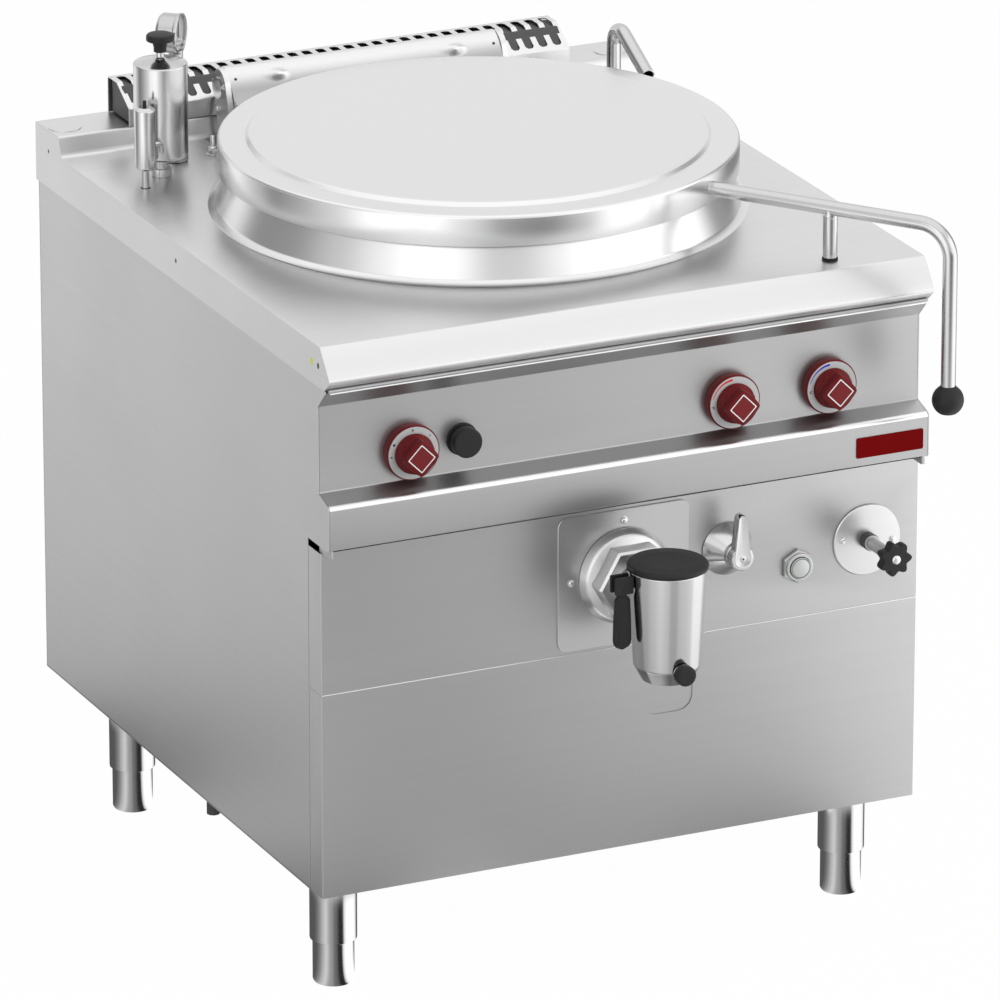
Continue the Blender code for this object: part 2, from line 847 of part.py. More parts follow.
def build_vessel():
    # The cooking vessel hangs by its rim on the collar and has a dished floor
    outer = vessel_radius + vessel_wall
    path = rounded([(outer, collar_top - gap), (outer, vessel_floor), (vessel_dish, vessel_floor - vessel_dish),
                    (0, vessel_floor - vessel_dish)], [0, vessel_knuckle, 0, 0])
    inner = beside(path, -vessel_wall)
    section = [(vessel_radius, rim_top), (collar_radius, rim_top), (collar_radius, rim_top - rim_flange),
               (outer, rim_top - rim_flange)] + path[1:]
    section += inner[::-1][:-1]
    vessel = turned("vessel", section, large_steps, True)
    finish(vessel, root, (0, vessel_setback, 0), surface=brushed)
    drain = cylinder("vessel_drain", drain_radius + gap, vessel_radius / 2, outer + overrun, where=cutters)
    finish(drain, root, (0, vessel_setback, tap_height), facing_front)
    cut(vessel, drain)

    pipe_back = vessel_setback - vessel_radius + vessel_wall
    pipe = turned("drain_pipe", [(drain_radius, pipe_back - panel_y + tap_plate_sheet + gap),
                                 (drain_radius, 0), (drain_bore, 0),
                                 (drain_bore, pipe_back - panel_y + tap_plate_sheet + gap)], round_steps, True)
    finish(pipe, root, (0, pipe_back, tap_height), facing_front, dull)


def build_jacket():
    # The water jacket closes on the vessel's wall at its top; its dished floor is welded on below
    neck = vessel_radius + vessel_wall + gap
    seam = jacket_floor + jacket_knuckle + jacket_flange
    path = [(neck, jacket_top), (jacket_radius, jacket_top - jacket_shoulder), (jacket_radius, seam + gap)]
    inner = beside(path, -vessel_wall)
    inner[0] = (neck, inner[0][1])
    jacket = turned("steam_jacket", path + inner[::-1], large_steps, True)
    finish(jacket, root, (0, vessel_setback, 0), surface=dull)
    path = rounded([(jacket_radius, seam), (jacket_radius, jacket_floor),
                    (jacket_knuckle, jacket_floor - vessel_dish), (0, jacket_floor - vessel_dish)],
                   [0, jacket_knuckle, 0, 0])
    dish = turned("jacket_floor", path + beside(path, -vessel_wall)[::-1], large_steps, True)
    finish(dish, root, (0, vessel_setback, 0), surface=dull)
    drain = cylinder("jacket_drain", drain_radius + gap, vessel_radius / 2,
                     jacket_radius + overrun, where=cutters)
    finish(drain, root, (0, vessel_setback, tap_height), facing_front)
    cut(jacket, drain)


def build_combustion_chamber():
    # A round wall from the base tray up round the jacket's foot, with air slots and a flue window
    inner = jacket_radius + gap
    outer = inner + vessel_wall
    bottom = body_bottom + sheet + gap
    chamber = turned("combustion_chamber", [(outer, chamber_top), (outer, bottom), (inner, bottom),
                                            (inner, chamber_top)], large_steps, True)
    finish(chamber, root, (0, vessel_setback, 0), surface=dull)
    for slot in range(chamber_vents // 2):
        vent = box("chamber_vent", (-outer - overrun, -chamber_vent_width / 2, bottom + chamber_vent_height),
                   (outer + overrun, chamber_vent_width / 2, bottom + 2 * chamber_vent_height), cutters)
        finish(vent, root, (0, vessel_setback, 0), (0, 0, pi * (2 * slot + 1) / chamber_vents))
        cut(chamber, vent)
    window = box("flue_window", (-flue_window_width / 2, inner / 2, flue_floor + overrun),
                 (flue_window_width / 2, outer + overrun, flue_floor + flue_window_height), cutters)
    finish(window, root, (0, vessel_setback, 0))
    drain = cylinder("chamber_drain", drain_radius + gap, vessel_radius / 2, outer + overrun, where=cutters)
    finish(drain, root, (0, vessel_setback, tap_height), facing_front)
    feed = cylinder("chamber_feed", gas_pipe_radius + gap, inner / 2, outer + overrun, where=cutters)
    finish(feed, root, (0, gas_pipe_y, burner_height), (0, -pi / 2, 0))
    cut(chamber, window, drain, feed)


def build_flue_duct():
    # A flat duct between the chamber and the rear panel, open at its top under the upstand
    duct_front = vessel_setback + jacket_radius + vessel_wall + gap * 2
    duct_rear = body_rear - sheet - gap
    duct = plate("flue_duct", [
        rectangle((-flue_half_width, duct_front), (flue_half_width, duct_rear)),
        rectangle((sheet - flue_half_width, duct_front + sheet), (flue_half_width - sheet, duct_rear - sheet)),
    ], flue_floor, worktop_under - gap)
    floor = box("flue_floor", (sheet / 2 - flue_half_width, duct_front + sheet / 2, flue_floor),
                (flue_half_width - sheet / 2, duct_rear - sheet / 2, flue_floor + sheet), cutters)
    window = box("duct_window", (-flue_window_width / 2, duct_front - overrun, flue_floor + overrun),
                 (flue_window_width / 2, duct_front + overrun, flue_floor + flue_window_height), cutters)
    finish(duct, root, (0, 0, 0), surface=dull)
    finish(floor, root, (0, 0, 0))
    finish(window, root, (0, 0, 0))
    join(duct, floor)
    cut(duct, window)


def build_burner():
    # A ring burner on three legs, with its feed pipe down through the base
    ring = arc((burner_radius, burner_height), burner_tube, 360, 45, 7)
    burner = turned("burner", ring, middle_steps, True)
    finish(burner, root, (0, vessel_setback, 0), surface=iron)
    corner = (gas_pipe_x, gas_pipe_y, burner_height)
    path = [(gas_pipe_x, gas_pipe_y, gas_pipe_end)]
    path += bend(path[0], corner, (0, gas_pipe_y, burner_height), gas_bend)
    path.append((-burner_radius, gas_pipe_y, burner_height))
    feed = tube("gas_feed", path, gas_pipe_radius, where=cutters)
    finish(feed, root, (0, 0, 0))
    join(burner, feed)
    legs = 3
    for leg in range(legs):
        turn = 2 * pi * leg / legs
        reach = jacket_radius - burner_leg - 2 * sheet
        base = body_bottom + sheet + gap
        path = [(reach * cos(turn), reach * sin(turn), base),
                (reach * cos(turn), reach * sin(turn), burner_height),
                (burner_radius * cos(turn), burner_radius * sin(turn), burner_height)]
        made = tube("burner_leg", [path[0]] + bend(*path, gas_bend, 3) + [path[-1]], burner_leg, 2, cutters)
        finish(made, root, (0, vessel_setback, 0))
        join(burner, made)


def grille_front():
    return rear - grille_rear_inset - grille_depth


def build_grille():
    # One folded sheet on the upstand, slotted across its crest so that the flue gas leaves
    back = rear - grille_rear_inset
    base = upstand_top + gap
    crest = upstand_top + grille_height
    crest_front = (back - grille_crest, crest)
    knee = (grille_front(), upstand_top + grille_wall)
    path = rounded([(back, base), (back, crest), crest_front, knee, (grille_front(), base)],
                   [0, grille_bend, grille_bend, grille_bend / 2, 0], 2)
    grille = plate("flue_grille", [sheet_section(path, sheet)], -grille_half, grille_half)
    finish(grille, root, (0, 0, 0), along_x, brushed)
    # Each slot is a flat tongue that passes down through the crest and the slope
    for slot in range(slots):
        long = slot < long_slots_left or slot >= slots - long_slots_right
        share = long_slot_share if long else short_slot_share
        end_y = crest_front[0] + (knee[0] - crest_front[0]) * share
        start_y = back - grille_crest * slot_rear_share
        across = (slot - (slots - 1) / 2) * slot_pitch
        outline = rounded([(-slot_width / 2, end_y), (slot_width / 2, end_y), (slot_width / 2, start_y),
                           (-slot_width / 2, start_y)], [slot_width / 4] * 4, 1, True)
        tool = plate("grille_slot", [outline], base + grille_wall / 2, crest + overrun, cutters)
        finish(tool, root, (across, 0, 0))
        cut(grille, tool)


def build_hinge():
    # The lid's beam turns on a fixed shaft between two brackets, over a balance spring
    for side, name in ((-1, "hinge_bracket_left"), (1, "hinge_bracket_right")):
        inner = beam_half + gap
        base = worktop_height + gap
        outline = [(hinge_y + bracket_rear, base)] + arc(
            (hinge_y, hinge_z), bracket_radius, 0, 150, 8) + [(hinge_y - bracket_front, base)]
        low, high = sorted((side * inner, side * (inner + bracket_sheet)))
        bracket = plate(name, [outline], low, high)
        finish(bracket, root, (0, 0, 0), along_x, dull)
        outside = sorted((side * (inner + bracket_sheet / 2), side * (inner + bracket_foot)))
        foot = box("bracket_foot", (outside[0], hinge_y - bracket_front + bracket_sheet, base),
                   (outside[1], hinge_y + bracket_rear, base + bracket_sheet), cutters)
        finish(foot, root, (0, 0, 0))
        bore = cylinder("bracket_bore", shaft_radius + gap, -width / 2, width / 2, where=cutters)
        finish(bore, root, (0, hinge_y, hinge_z), along_x)
        join(bracket, foot)
        cut(bracket, bore)

    reach = beam_half + 2 * gap + bracket_sheet
    head = shaft_radius + shaft_head
    shaft = turned("hinge_shaft", [
        (0, reach + shaft_head), (head, reach + shaft_head), (head, reach), (shaft_radius, reach),
        (shaft_radius, -reach), (head, -reach), (head, -reach - shaft_head), (0, -reach - shaft_head)],
        round_steps)
    finish(shaft, root, (0, hinge_y, hinge_z), along_x, polished)

    outline = [(across * beam_radius, up * beam_radius) for across, up in fairing_shares]
    outline = arc((0, 0), beam_radius, 95, -130, 14)[::-1] + outline[::-1]
    beam = plate("hinge_beam", [outline], -beam_half, beam_half)
    finish(beam, lid_axis, (0, hinge_y, hinge_z), along_x, brushed)
    bore = cylinder("beam_bore", shaft_radius + gap, -beam_half - overrun, beam_half + overrun, where=cutters)
    chamber = cylinder("beam_chamber", beam_chamber, beam_land - beam_half, beam_half - beam_land,
                       where=cutters)
    rim = cylinder("beam_relief", lid_radius + gap, lid_top - lid_skirt - beam_radius,
                   lid_top + beam_radius, large_steps, cutters)
    finish(bore, lid_axis, (0, hinge_y, hinge_z), along_x)
    finish(chamber, lid_axis, (0, hinge_y, hinge_z), along_x)
    finish(rim, lid_axis, (0, vessel_setback, 0))
    cut(beam, bore, chamber, rim)

    coil = (shaft_radius + gap + spring_wire) / cos(pi / spring_steps)
    length = beam_half - beam_land - 2 * spring_wire
    steps = spring_turns * spring_steps
    points = []
    for step in range(steps + 1):
        turn = 2 * pi * step / spring_steps
        points.append((length * (2 * step / steps - 1), coil * cos(turn), coil * sin(turn)))
    spring = tube("balance_spring", points, spring_wire, 2)
    finish(spring, root, (0, hinge_y, hinge_z), surface=dull)


def build_lid():
    # A flat pressed lid: a raised disc with a soft bead, a shelf and a straight skirt
    corners = [(0, lid_top + lid_rise), (lid_disc - lid_bead, lid_top + lid_rise), (lid_disc, lid_top),
               (lid_radius, lid_top), (lid_radius, lid_top - lid_skirt)]
    path = rounded(corners, [0, lid_bead, lid_bead / 2, lid_edge, 0], 2)
    lid = turned("lid", path + beside(corners, -sheet)[::-1], large_steps)
    finish(lid, lid_axis, (0, vessel_setback, 0), surface=polished)

    # The handle leaves the skirt, bends down at its end and rests on a peg
    turn = (0, 0, radians(handle_angle))
    ball_top = ball_height + ball_radius
    end = (handle_reach, 0, ball_top - ball_socket)
    corner = (handle_reach, 0, handle_height)
    start = (lid_radius + gap, 0, handle_height)
    handle = tube("lid_handle", [start] + bend(start, corner, end, handle_bend, 6) + [end], tube_radius)
    tip_bottom = worktop_height + gap
    peg = tube("peg", [(peg_reach, 0, handle_height), (peg_reach, 0, tip_bottom + peg_tip_height + gap)],
               tube_radius, where=cutters)
    tip = turned("peg_tip", [
        (0, tip_bottom + peg_tip_height), (peg_tip_radius, tip_bottom + peg_tip_height),
        (peg_tip_radius, tip_bottom), (0, tip_bottom)], round_steps)
    finish(handle, lid_axis, (0, vessel_setback, 0), turn, polished)
    finish(peg, lid_axis, (0, vessel_setback, 0), turn)
    join(handle, peg)
    reach = Vector((cos(turn[2]), sin(turn[2]), 0))
    axis = Vector((0, vessel_setback, 0))
    finish(tip, lid_axis, axis + reach * peg_reach, surface=rubber)

    profile = arc((0, ball_height), ball_radius, 90, -90, 8)
    profile[0] = (0, profile[0][1])
    profile[-1] = (0, profile[-1][1])
    ball = turned("handle_ball", profile, round_steps)
    socket = cylinder("ball_socket", tube_radius + gap, ball_top - ball_socket - gap,
                      ball_top + overrun, where=cutters)
    finish(ball, lid_axis, axis + reach * handle_reach, surface=black)
    finish(socket, lid_axis, axis + reach * handle_reach)
    cut(ball, socket)


def gauge_pipe_place():
    facing = radians(-gauge_turn)
    return (gauge_x + gauge_pipe_offset * cos(facing), gauge_y + gauge_pipe_offset * sin(facing))


def build_valve_group():
    # The safety valve, its small air vent and the pressure gauge stand on pipes behind the lid's left
    seat = worktop_height + gap
    body = turned("safety_valve_body", [
        (0, valve_neck_top), (valve_neck, valve_neck_top), (valve_neck, valve_neck_bottom),
        (valve_radius, valve_shoulder), (valve_radius, valve_bottom + edge_radius),
        (valve_radius - edge_radius, valve_bottom), (valve_pipe, valve_bottom),
        (valve_pipe, seat + valve_nut_height), (valve_nut_radius, seat + valve_nut_height),
        (valve_nut_radius, seat), (valve_pipe, seat), (valve_pipe, seat - valve_tail),
        (0, seat - valve_tail)], middle_steps)
    finish(body, root, (valve_x, valve_y, 0), surface=brushed)
    crown = [(across * valve_cap_radius, valve_cap_bottom + up * valve_cap_height)
             for across, up in valve_cap_shares]
    knob = turned("safety_valve_knob", crown + [
        (valve_stem, valve_cap_bottom), (valve_stem, valve_neck_top + gap), (0, valve_neck_top + gap)],
        round_steps)
    finish(knob, root, (valve_x, valve_y, 0), surface=black)

    vent = turned("air_vent_body", [
        (0, vent_top), (vent_radius * vent_top_share, vent_top), (vent_radius, vent_top - edge_radius),
        (vent_radius, valve_bottom), (vent_pipe, valve_bottom - edge_radius), (vent_pipe, seat - valve_tail),
        (0, seat - valve_tail)], round_steps)
    finish(vent, root, (vent_x, vent_y, 0), surface=brushed)
    well = cylinder("vent_well", vent_pin + gap, vent_top - 2 * vent_travel, vent_top + overrun, 12, cutters)
    finish(well, root, (vent_x, vent_y, 0))
    cut(vent, well)
    pin = cylinder("air_vent_pin", vent_pin, vent_top - vent_travel / 2, vent_top + vent_pin_height, 12)
    finish(pin, root, (vent_x, vent_y, 0), surface=black)

    # The gauge faces the cook: its drum lies along its own axis on an upright pipe
    facing = (pi / 2, 0, radians(90 - gauge_turn))
    half = gauge_depth / 2
    drum = turned("gauge_case", [
        (gauge_radius - gauge_bezel, half), (gauge_radius - edge_radius / 4, half),
        (gauge_radius, half - gauge_bezel), (gauge_radius, edge_radius - half),
        (gauge_radius - edge_radius, -half), (0, -half), (0, half - gauge_recess),
        (gauge_radius - gauge_bezel, half - gauge_recess)], middle_steps, True)
    finish(drum, root, (gauge_x, gauge_y, gauge_z), facing, polished)
    place = gauge_pipe_place()
    pipe_top = gauge_z - gauge_radius + gauge_bezel / 2
    pipe = turned("gauge_pipe", [
        (0, pipe_top), (gauge_pipe, pipe_top),
        (gauge_pipe, seat + valve_nut_height), (gauge_pipe * 2, seat + valve_nut_height),
        (gauge_pipe * 2, seat), (gauge_pipe, seat), (gauge_pipe, seat - valve_tail),
        (0, seat - valve_tail)], round_steps, where=cutters)
    finish(pipe, root, (*place, 0))
    toward = Vector((valve_x - place[0], valve_y - place[1], 0))
    reach = toward.normalized() * (toward.length - valve_radius - gap)
    branch = tube("gauge_branch", [(*place, gauge_branch_height),
                                   (place[0] + reach.x, place[1] + reach.y, gauge_branch_height)],
                  gauge_branch, 2, cutters)
    finish(branch, root, (0, 0, 0))
    join(drum, pipe, branch)

    glass_front = half - gauge_bezel / 3
    pane = cylinder("gauge_glass", gauge_radius - gauge_bezel - gap, glass_front - gauge_glass,
                    glass_front, middle_steps)
    finish(pane, root, (gauge_x, gauge_y, gauge_z), facing, glass)
    outline = [(-needle_width, -needle_tail), (needle_width, -needle_tail), (needle_width / 4, needle_length),
               (-needle_width / 4, needle_length)]
    dial = half - gauge_recess
    needle = plate("gauge_needle", [outline], dial + gap, dial + gap + needle_thickness)
    finish(needle, root, (gauge_x, gauge_y, gauge_z), facing, black)


def build_spout():
    # A swivelling swan-neck beside the vessel, open right through
    turn = radians(spout_angle)
    top = spout_top - tube_radius
    ahead = Vector((cos(turn), sin(turn), 0))
    foot = Vector((0, 0, worktop_height - spout_tail))
    tip = ahead * spout_reach + Vector((0, 0, top - spout_drop))
    # The straight runs meet a little above the crown, which the bend then cuts off
    slope = atan2(spout_drop, spout_reach)
    rise = spout_bend * (1 / cos(slope) - 1)
    peak = Vector((0, 0, top + rise + spout_bend * sin(slope)))
    path = [foot] + bend(foot, peak, tip, spout_bend, 8) + [tip]
    spout = tube("water_spout", path, tube_radius, 4)
    along = (path[-1] - path[-2]).normalized()
    bore_path = [path[0] - Vector((0, 0, overrun))] + path[1:-1] + [path[-1] + along * overrun]
    bore = tube("spout_bore", bore_path, spout_bore, 3, cutters)
    finish(spout, root, (spout_x, spout_y, 0), surface=polished)
    finish(bore, root, (spout_x, spout_y, 0))
    cut(spout, bore)
    nut = plate("spout_nut", [regular(spout_nut_corner, 6, 0),
                              regular(tube_radius + gap, round_steps, 0)],
                worktop_height + gap, worktop_height + spout_nut_height)
    finish(nut, root, (spout_x, spout_y, 0), surface=polished)


def knob_ring(radius, reach, square_share, corner):
    # A ring of points that goes from a circle to a square standing on its corner
    points = []
    for step in range(middle_steps):
        turn = 2 * pi * step / middle_steps
        side = corner / (abs(cos(turn)) + abs(sin(turn)))
        across = radius * (1 - square_share) + side * square_share
        points.append((across * cos(turn), across * sin(turn), reach))
    return points


def build_knobs():
    # Each knob is one moulding: a round base and a grip that turns from round to a diamond
    base = knob_base_depth
    tip = base + knob_grip_depth
    rings = [
        knob_ring(knob_shaft, -knob_shaft_length, 0, knob_corner),
        knob_ring(knob_shaft, gap, 0, knob_corner),
        knob_ring(knob_base_radius, gap, 0, knob_corner),
        knob_ring(knob_base_radius, base - knob_edge, 0, knob_corner),
        knob_ring(knob_base_radius - knob_edge, base, 0, knob_corner),
        knob_ring(knob_grip_radius, base, 0, knob_corner),
        knob_ring(knob_grip_radius, base + knob_grip_depth / 4, 0, knob_corner),
        knob_ring(knob_grip_radius, base + knob_grip_depth / 2, knob_square_share, knob_corner),
        knob_ring(knob_grip_radius, tip - knob_edge, 1, knob_corner),
        knob_ring(knob_grip_radius, tip, 1, knob_corner - knob_edge),
    ]
    for name, across in (("gas_knob", gas_knob_x), ("cold_water_knob", cold_knob_x),
                         ("hot_water_knob", hot_knob_x)):
        finish(loft(name, rings), root, (across, control_y, knob_height), facing_front, red)

    ring = turned("igniter_ring", [
        (igniter_ring, igniter_ring_depth), (igniter_ring, gap), (igniter_stem + gap, gap),
        (igniter_stem + gap, igniter_ring_depth)], middle_steps, True)
    finish(ring, root, (igniter_x, control_y, igniter_z), facing_front, black)
    rest = igniter_ring_depth + igniter_stroke + gap
    button = turned("igniter_button", [
        (0, igniter_depth), (igniter_radius - knob_edge, igniter_depth),
        (igniter_radius, igniter_depth - knob_edge), (igniter_radius, rest), (igniter_stem, rest),
        (igniter_stem, -knob_shaft_length), (0, -knob_shaft_length)], middle_steps)
    finish(button, root, (igniter_x, control_y, igniter_z), facing_front, black)


def build_drain_tap():
    # The drain tap: plate, domed flange and nut, a cup with its outlet below, cap, lever and button
    across = tap_plate_half
    hole = regular(drain_radius + gap, round_steps, 0)
    outline = rounded(rectangle((-across, -tap_plate_drop), (across, tap_plate_rise)),
                      [tap_plate_corner] * 4, 3, True)
    made = plate("tap_plate", [outline, hole], gap, tap_plate_sheet)
    finish(made, root, (0, panel_y, tap_height), facing_front, brushed)

    bore = drain_bore
    start = tap_plate_sheet + 2 * gap
    shoulder = start + flange_depth
    dome = [(across * flange_radius, up * shoulder) for across, up in flange_shares]
    flange = turned("tap_flange", [(tap_barrel, shoulder)] + dome + [
        (flange_radius, start + knob_edge), (flange_radius, start), (bore, start), (bore, shoulder)],
        middle_steps, True)
    nut = plate("tap_nut", [regular(tap_nut_corner, 6, 0), regular(bore, middle_steps, 0)],
                shoulder - knob_edge, shoulder + tap_nut_depth, cutters)
    finish(flange, root, (0, panel_y, tap_height), facing_front, polished)
    finish(nut, root, (0, panel_y, tap_height), facing_front)
    join(flange, nut)

    # The cup stands upright; its barrel runs back to the nut
    nut_front = shoulder + tap_nut_depth + gap
    cup_y = panel_y - tap_axis_reach
    cup = turned("tap_body", [
        (0, cup_top), (cup_radius, cup_top), (cup_radius, cup_top - knob_edge),
        (cup_waist, cup_waist_height), (cup_mouth, cup_bottom), (cup_bore, cup_bottom),
        (cup_bore, tap_height), (0, tap_height)], middle_steps)
    barrel = turned("tap_barrel", [
        (0, tap_axis_reach - cup_bore), (tap_barrel, tap_axis_reach - cup_bore),
        (tap_barrel, nut_front), (0, nut_front)], round_steps, where=cutters)
    passage = cylinder("tap_passage", bore, nut_front - overrun, tap_axis_reach, where=cutters)
    boss = cylinder("tap_boss", tap_boss_radius, tap_axis_reach + (cup_bore + cup_waist) / 2,
                    tap_reach - tap_button_depth - gap, where=cutters)
    finish(cup, root, (0, cup_y, 0), surface=polished)
    finish(barrel, root, (0, panel_y, tap_height), facing_front)
    finish(passage, root, (0, panel_y, tap_height), facing_front)
    finish(boss, root, (0, panel_y, cup_waist_height), facing_front)
    join(cup, barrel, boss)
    cut(cup, passage)

    cap_bottom = cup_top + gap
    cap = turned("tap_cap", [
        (0, cap_bottom + tap_cap_height), (tap_cap_radius - knob_edge, cap_bottom + tap_cap_height),
        (tap_cap_radius, cap_bottom + tap_cap_height - knob_edge), (tap_cap_radius, cap_bottom),
        (0, cap_bottom)], middle_steps)
    # The lever's fork hangs from the cap's left side
    inner = cup_radius + 2 * gap
    outer = inner + tap_bracket_width
    half = tap_bracket_depth / 2
    fork_top = cap_bottom + tap_cap_height - knob_edge
    fork = box("tap_fork", (-outer, -half, tap_pin_z - tap_pin_radius * 3), (-inner, half, fork_top), cutters)
    bridge = box("tap_bridge", (-inner - knob_edge, -half, cap_bottom + knob_edge),
                 (-cup_waist, half, fork_top - knob_edge / 2), cutters)
    slot_half = lever_thickness / 2 + gap
    slot = box("fork_slot", (-outer - overrun, -slot_half, cup_waist_height),
               (-inner - knob_edge, slot_half, tap_pin_z + lever_top_width / 2 + knob_edge), cutters)
    pin_hole = cylinder("fork_bore", tap_pin_radius + gap, -half - overrun, half + overrun, 12, cutters)
    finish(cap, root, (0, cup_y, 0), surface=black)
    for made in (fork, bridge, slot):
        finish(made, root, (0, cup_y, 0))
    finish(pin_hole, root, (-tap_pin_x, cup_y, tap_pin_z), facing_front)
    join(cap, fork, bridge)
    cut(cap, slot, pin_hole)

    neck = lever_neck / 2
    outline = arc((0, 0), neck, 0, 180, 6) + [
        (-neck, -lever_neck_length), (-lever_top_width / 2, -lever_neck_length)]
    outline += arc((0, lever_end_width / 2 - lever_length), lever_end_width / 2, 180, 360, 8)
    outline += [(lever_top_width / 2, -lever_neck_length), (neck, -lever_neck_length)]
    lever = plate("tap_lever", [outline], -lever_thickness / 2, lever_thickness / 2)
    pin = cylinder("lever_pin", tap_pin_radius, -half, half, 12, cutters)
    finish(lever, root, (-tap_pin_x, cup_y, tap_pin_z), facing_front, black)
    finish(pin, root, (-tap_pin_x, cup_y, tap_pin_z), facing_front)
    join(lever, pin)

    button = turned("tap_button", [
        (0, tap_reach), (tap_button_radius - knob_edge, tap_reach), (tap_button_radius, tap_reach - knob_edge),
        (tap_button_radius, tap_reach - tap_button_depth), (0, tap_reach - tap_button_depth)], round_steps)
    finish(button, root, (0, panel_y, cup_waist_height), facing_front, black)


def build_level_cock():
    # A conical rosette with a tapered handle that stands up while the cock is closed
    hub = cock_depth - cock_handle_depth
    rosette = turned("level_cock_rosette", [
        (cock_pin + gap, hub - gap), (cock_hub, hub - gap), (cock_hub, hub - cock_hub / 3),
        (cock_radius, knob_edge * 2), (cock_radius, gap), (cock_pin + gap, gap)], middle_steps, True)
    finish(rosette, root, (cock_x, panel_y, cock_z), facing_front, polished)
    end = cock_handle_end / 2
    outline = arc((0, 0), cock_hub, 150, 390, 12) + arc((0, cock_handle_length - end), end, 0, 180, 5)
    lever = plate("level_cock_lever", [outline], hub, cock_depth)
    pin = cylinder("cock_pin", cock_pin, -knob_shaft_length, hub + knob_edge, where=cutters)
    finish(lever, root, (cock_x, panel_y, cock_z), facing_front, polished)
    finish(pin, root, (cock_x, panel_y, cock_z), facing_front)
    join(lever, pin)


def build_push_button():
    nut = plate("push_button_housing", [regular(button_nut_corner, 6, 0)], gap, button_nut_depth)
    bezel = cylinder("button_bezel", button_bezel, button_nut_depth / 2, button_bezel_depth,
                     middle_steps, cutters)
    barrel = cylinder("button_barrel", button_barrel, -button_nut_depth * 2, button_nut_depth / 2,
                      where=cutters)
    face = button_bezel - button_bezel_wall
    well = cylinder("button_well", face, button_nut_depth / 2, button_bezel_depth + overrun,
                    middle_steps, cutters)
    finish(nut, root, (button_x, panel_y, button_z), facing_front, polished)
    for made in (bezel, barrel, well):
        finish(made, root, (button_x, panel_y, button_z), facing_front)
    join(nut, bezel, barrel)
    cut(nut, well)
    rest = button_nut_depth / 2 + button_stroke + gap
    button = turned("push_button", [
        (0, button_depth), (face - gap - knob_edge, button_depth), (face - gap, button_depth - knob_edge),
        (face - gap, rest), (0, rest)], middle_steps)
    finish(button, root, (button_x, panel_y, button_z), facing_front, polished)


def build_fill_valve():
    # The jacket's filling valve: a flange, a long sleeve and a star knob on its shaft
    flange = turned("fill_flange", [
        (fill_sleeve + gap, fill_flange_depth), (fill_flange_radius - knob_edge, fill_flange_depth),
        (fill_flange_radius, fill_flange_depth - knob_edge), (fill_flange_radius, gap),
        (fill_sleeve + gap, gap)], middle_steps, True)
    finish(flange, root, (fill_x, panel_y, fill_z), facing_front, brushed)
    back = fill_knob_reach - fill_knob_depth / 2
    sleeve = turned("fill_stem", [
        (fill_shaft + gap, back - gap), (fill_sleeve, back - gap), (fill_sleeve, -knob_shaft_length),
        (fill_shaft + gap, -knob_shaft_length)], round_steps, True)
    finish(sleeve, root, (fill_x, panel_y, fill_z), facing_front, dull)
    steps = fill_knob_lobes * 6
    outline = [((fill_knob_radius - fill_knob_wave * (1 - cos(fill_knob_lobes * turn)) / 2) * cos(turn),
                (fill_knob_radius - fill_knob_wave * (1 - cos(fill_knob_lobes * turn)) / 2) * sin(turn))
               for turn in [2 * pi * step / steps for step in range(steps)]]
    knob = plate("fill_knob", [outline], back, back + fill_knob_depth)
    shaft = cylinder("fill_shaft", fill_shaft, 0, back + knob_edge, where=cutters)
    cap = turned("fill_cap", [
        (0, back + fill_knob_depth + fill_cap_height),
        (fill_cap * fill_cap_share, back + fill_knob_depth + fill_cap_height * fill_cap_share),
        (fill_cap, back + fill_knob_depth - knob_edge),
        (0, back + fill_knob_depth - knob_edge)], round_steps, where=cutters)
    finish(knob, root, (fill_x, panel_y, fill_z), facing_front, black)
    finish(shaft, root, (fill_x, panel_y, fill_z), facing_front)
    finish(cap, root, (fill_x, panel_y, fill_z), facing_front)
    join(knob, shaft, cap)


build_worktop()
build_side_panels()
build_back_and_base()
build_control_panel()
build_front_panels()
build_feet()
build_vessel()
build_jacket()
build_combustion_chamber()
build_flue_duct()
build_burner()
build_grille()
build_hinge()
build_lid()
build_valve_group()
build_spout()
build_knobs()
build_drain_tap()
build_level_cock()
build_push_button()
build_fill_valve()
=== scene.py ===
import math
import bmesh
import bpy
import numpy as np
from mathutils import Matrix, Vector


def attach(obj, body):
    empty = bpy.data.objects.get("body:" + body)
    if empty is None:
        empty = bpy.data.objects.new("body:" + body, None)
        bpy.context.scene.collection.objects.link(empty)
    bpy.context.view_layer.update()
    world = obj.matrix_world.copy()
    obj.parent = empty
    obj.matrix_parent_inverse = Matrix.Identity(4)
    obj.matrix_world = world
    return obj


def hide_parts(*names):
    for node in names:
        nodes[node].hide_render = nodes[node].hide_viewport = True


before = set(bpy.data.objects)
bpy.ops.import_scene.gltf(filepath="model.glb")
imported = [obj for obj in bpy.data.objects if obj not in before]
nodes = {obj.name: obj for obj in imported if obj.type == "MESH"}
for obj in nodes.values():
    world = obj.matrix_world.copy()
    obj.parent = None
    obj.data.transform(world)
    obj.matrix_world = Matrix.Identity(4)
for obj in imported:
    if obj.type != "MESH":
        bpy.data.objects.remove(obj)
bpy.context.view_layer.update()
for startObject in ("Cube", "Light", "Camera"):
    if startObject in bpy.data.objects:
        bpy.data.objects.remove(bpy.data.objects[startObject])
print("frame loaded:", len(nodes), "nodes")

# Where the cabinet's own middle lies in the frame; all places below are measured from it
middle = Vector((-0.002732, 0.0715, 0.0))
gap = 0.0003
level = 0.850  # the worktop's top face
seat = 0.8503  # where valves and spout stand on it
tail = 0.030  # how far their pipes go on under it
stem = 0.016  # how far the controls' stems go on behind their panel
front = {"panel": -0.416, "control": -0.4123, "lip": -0.442}


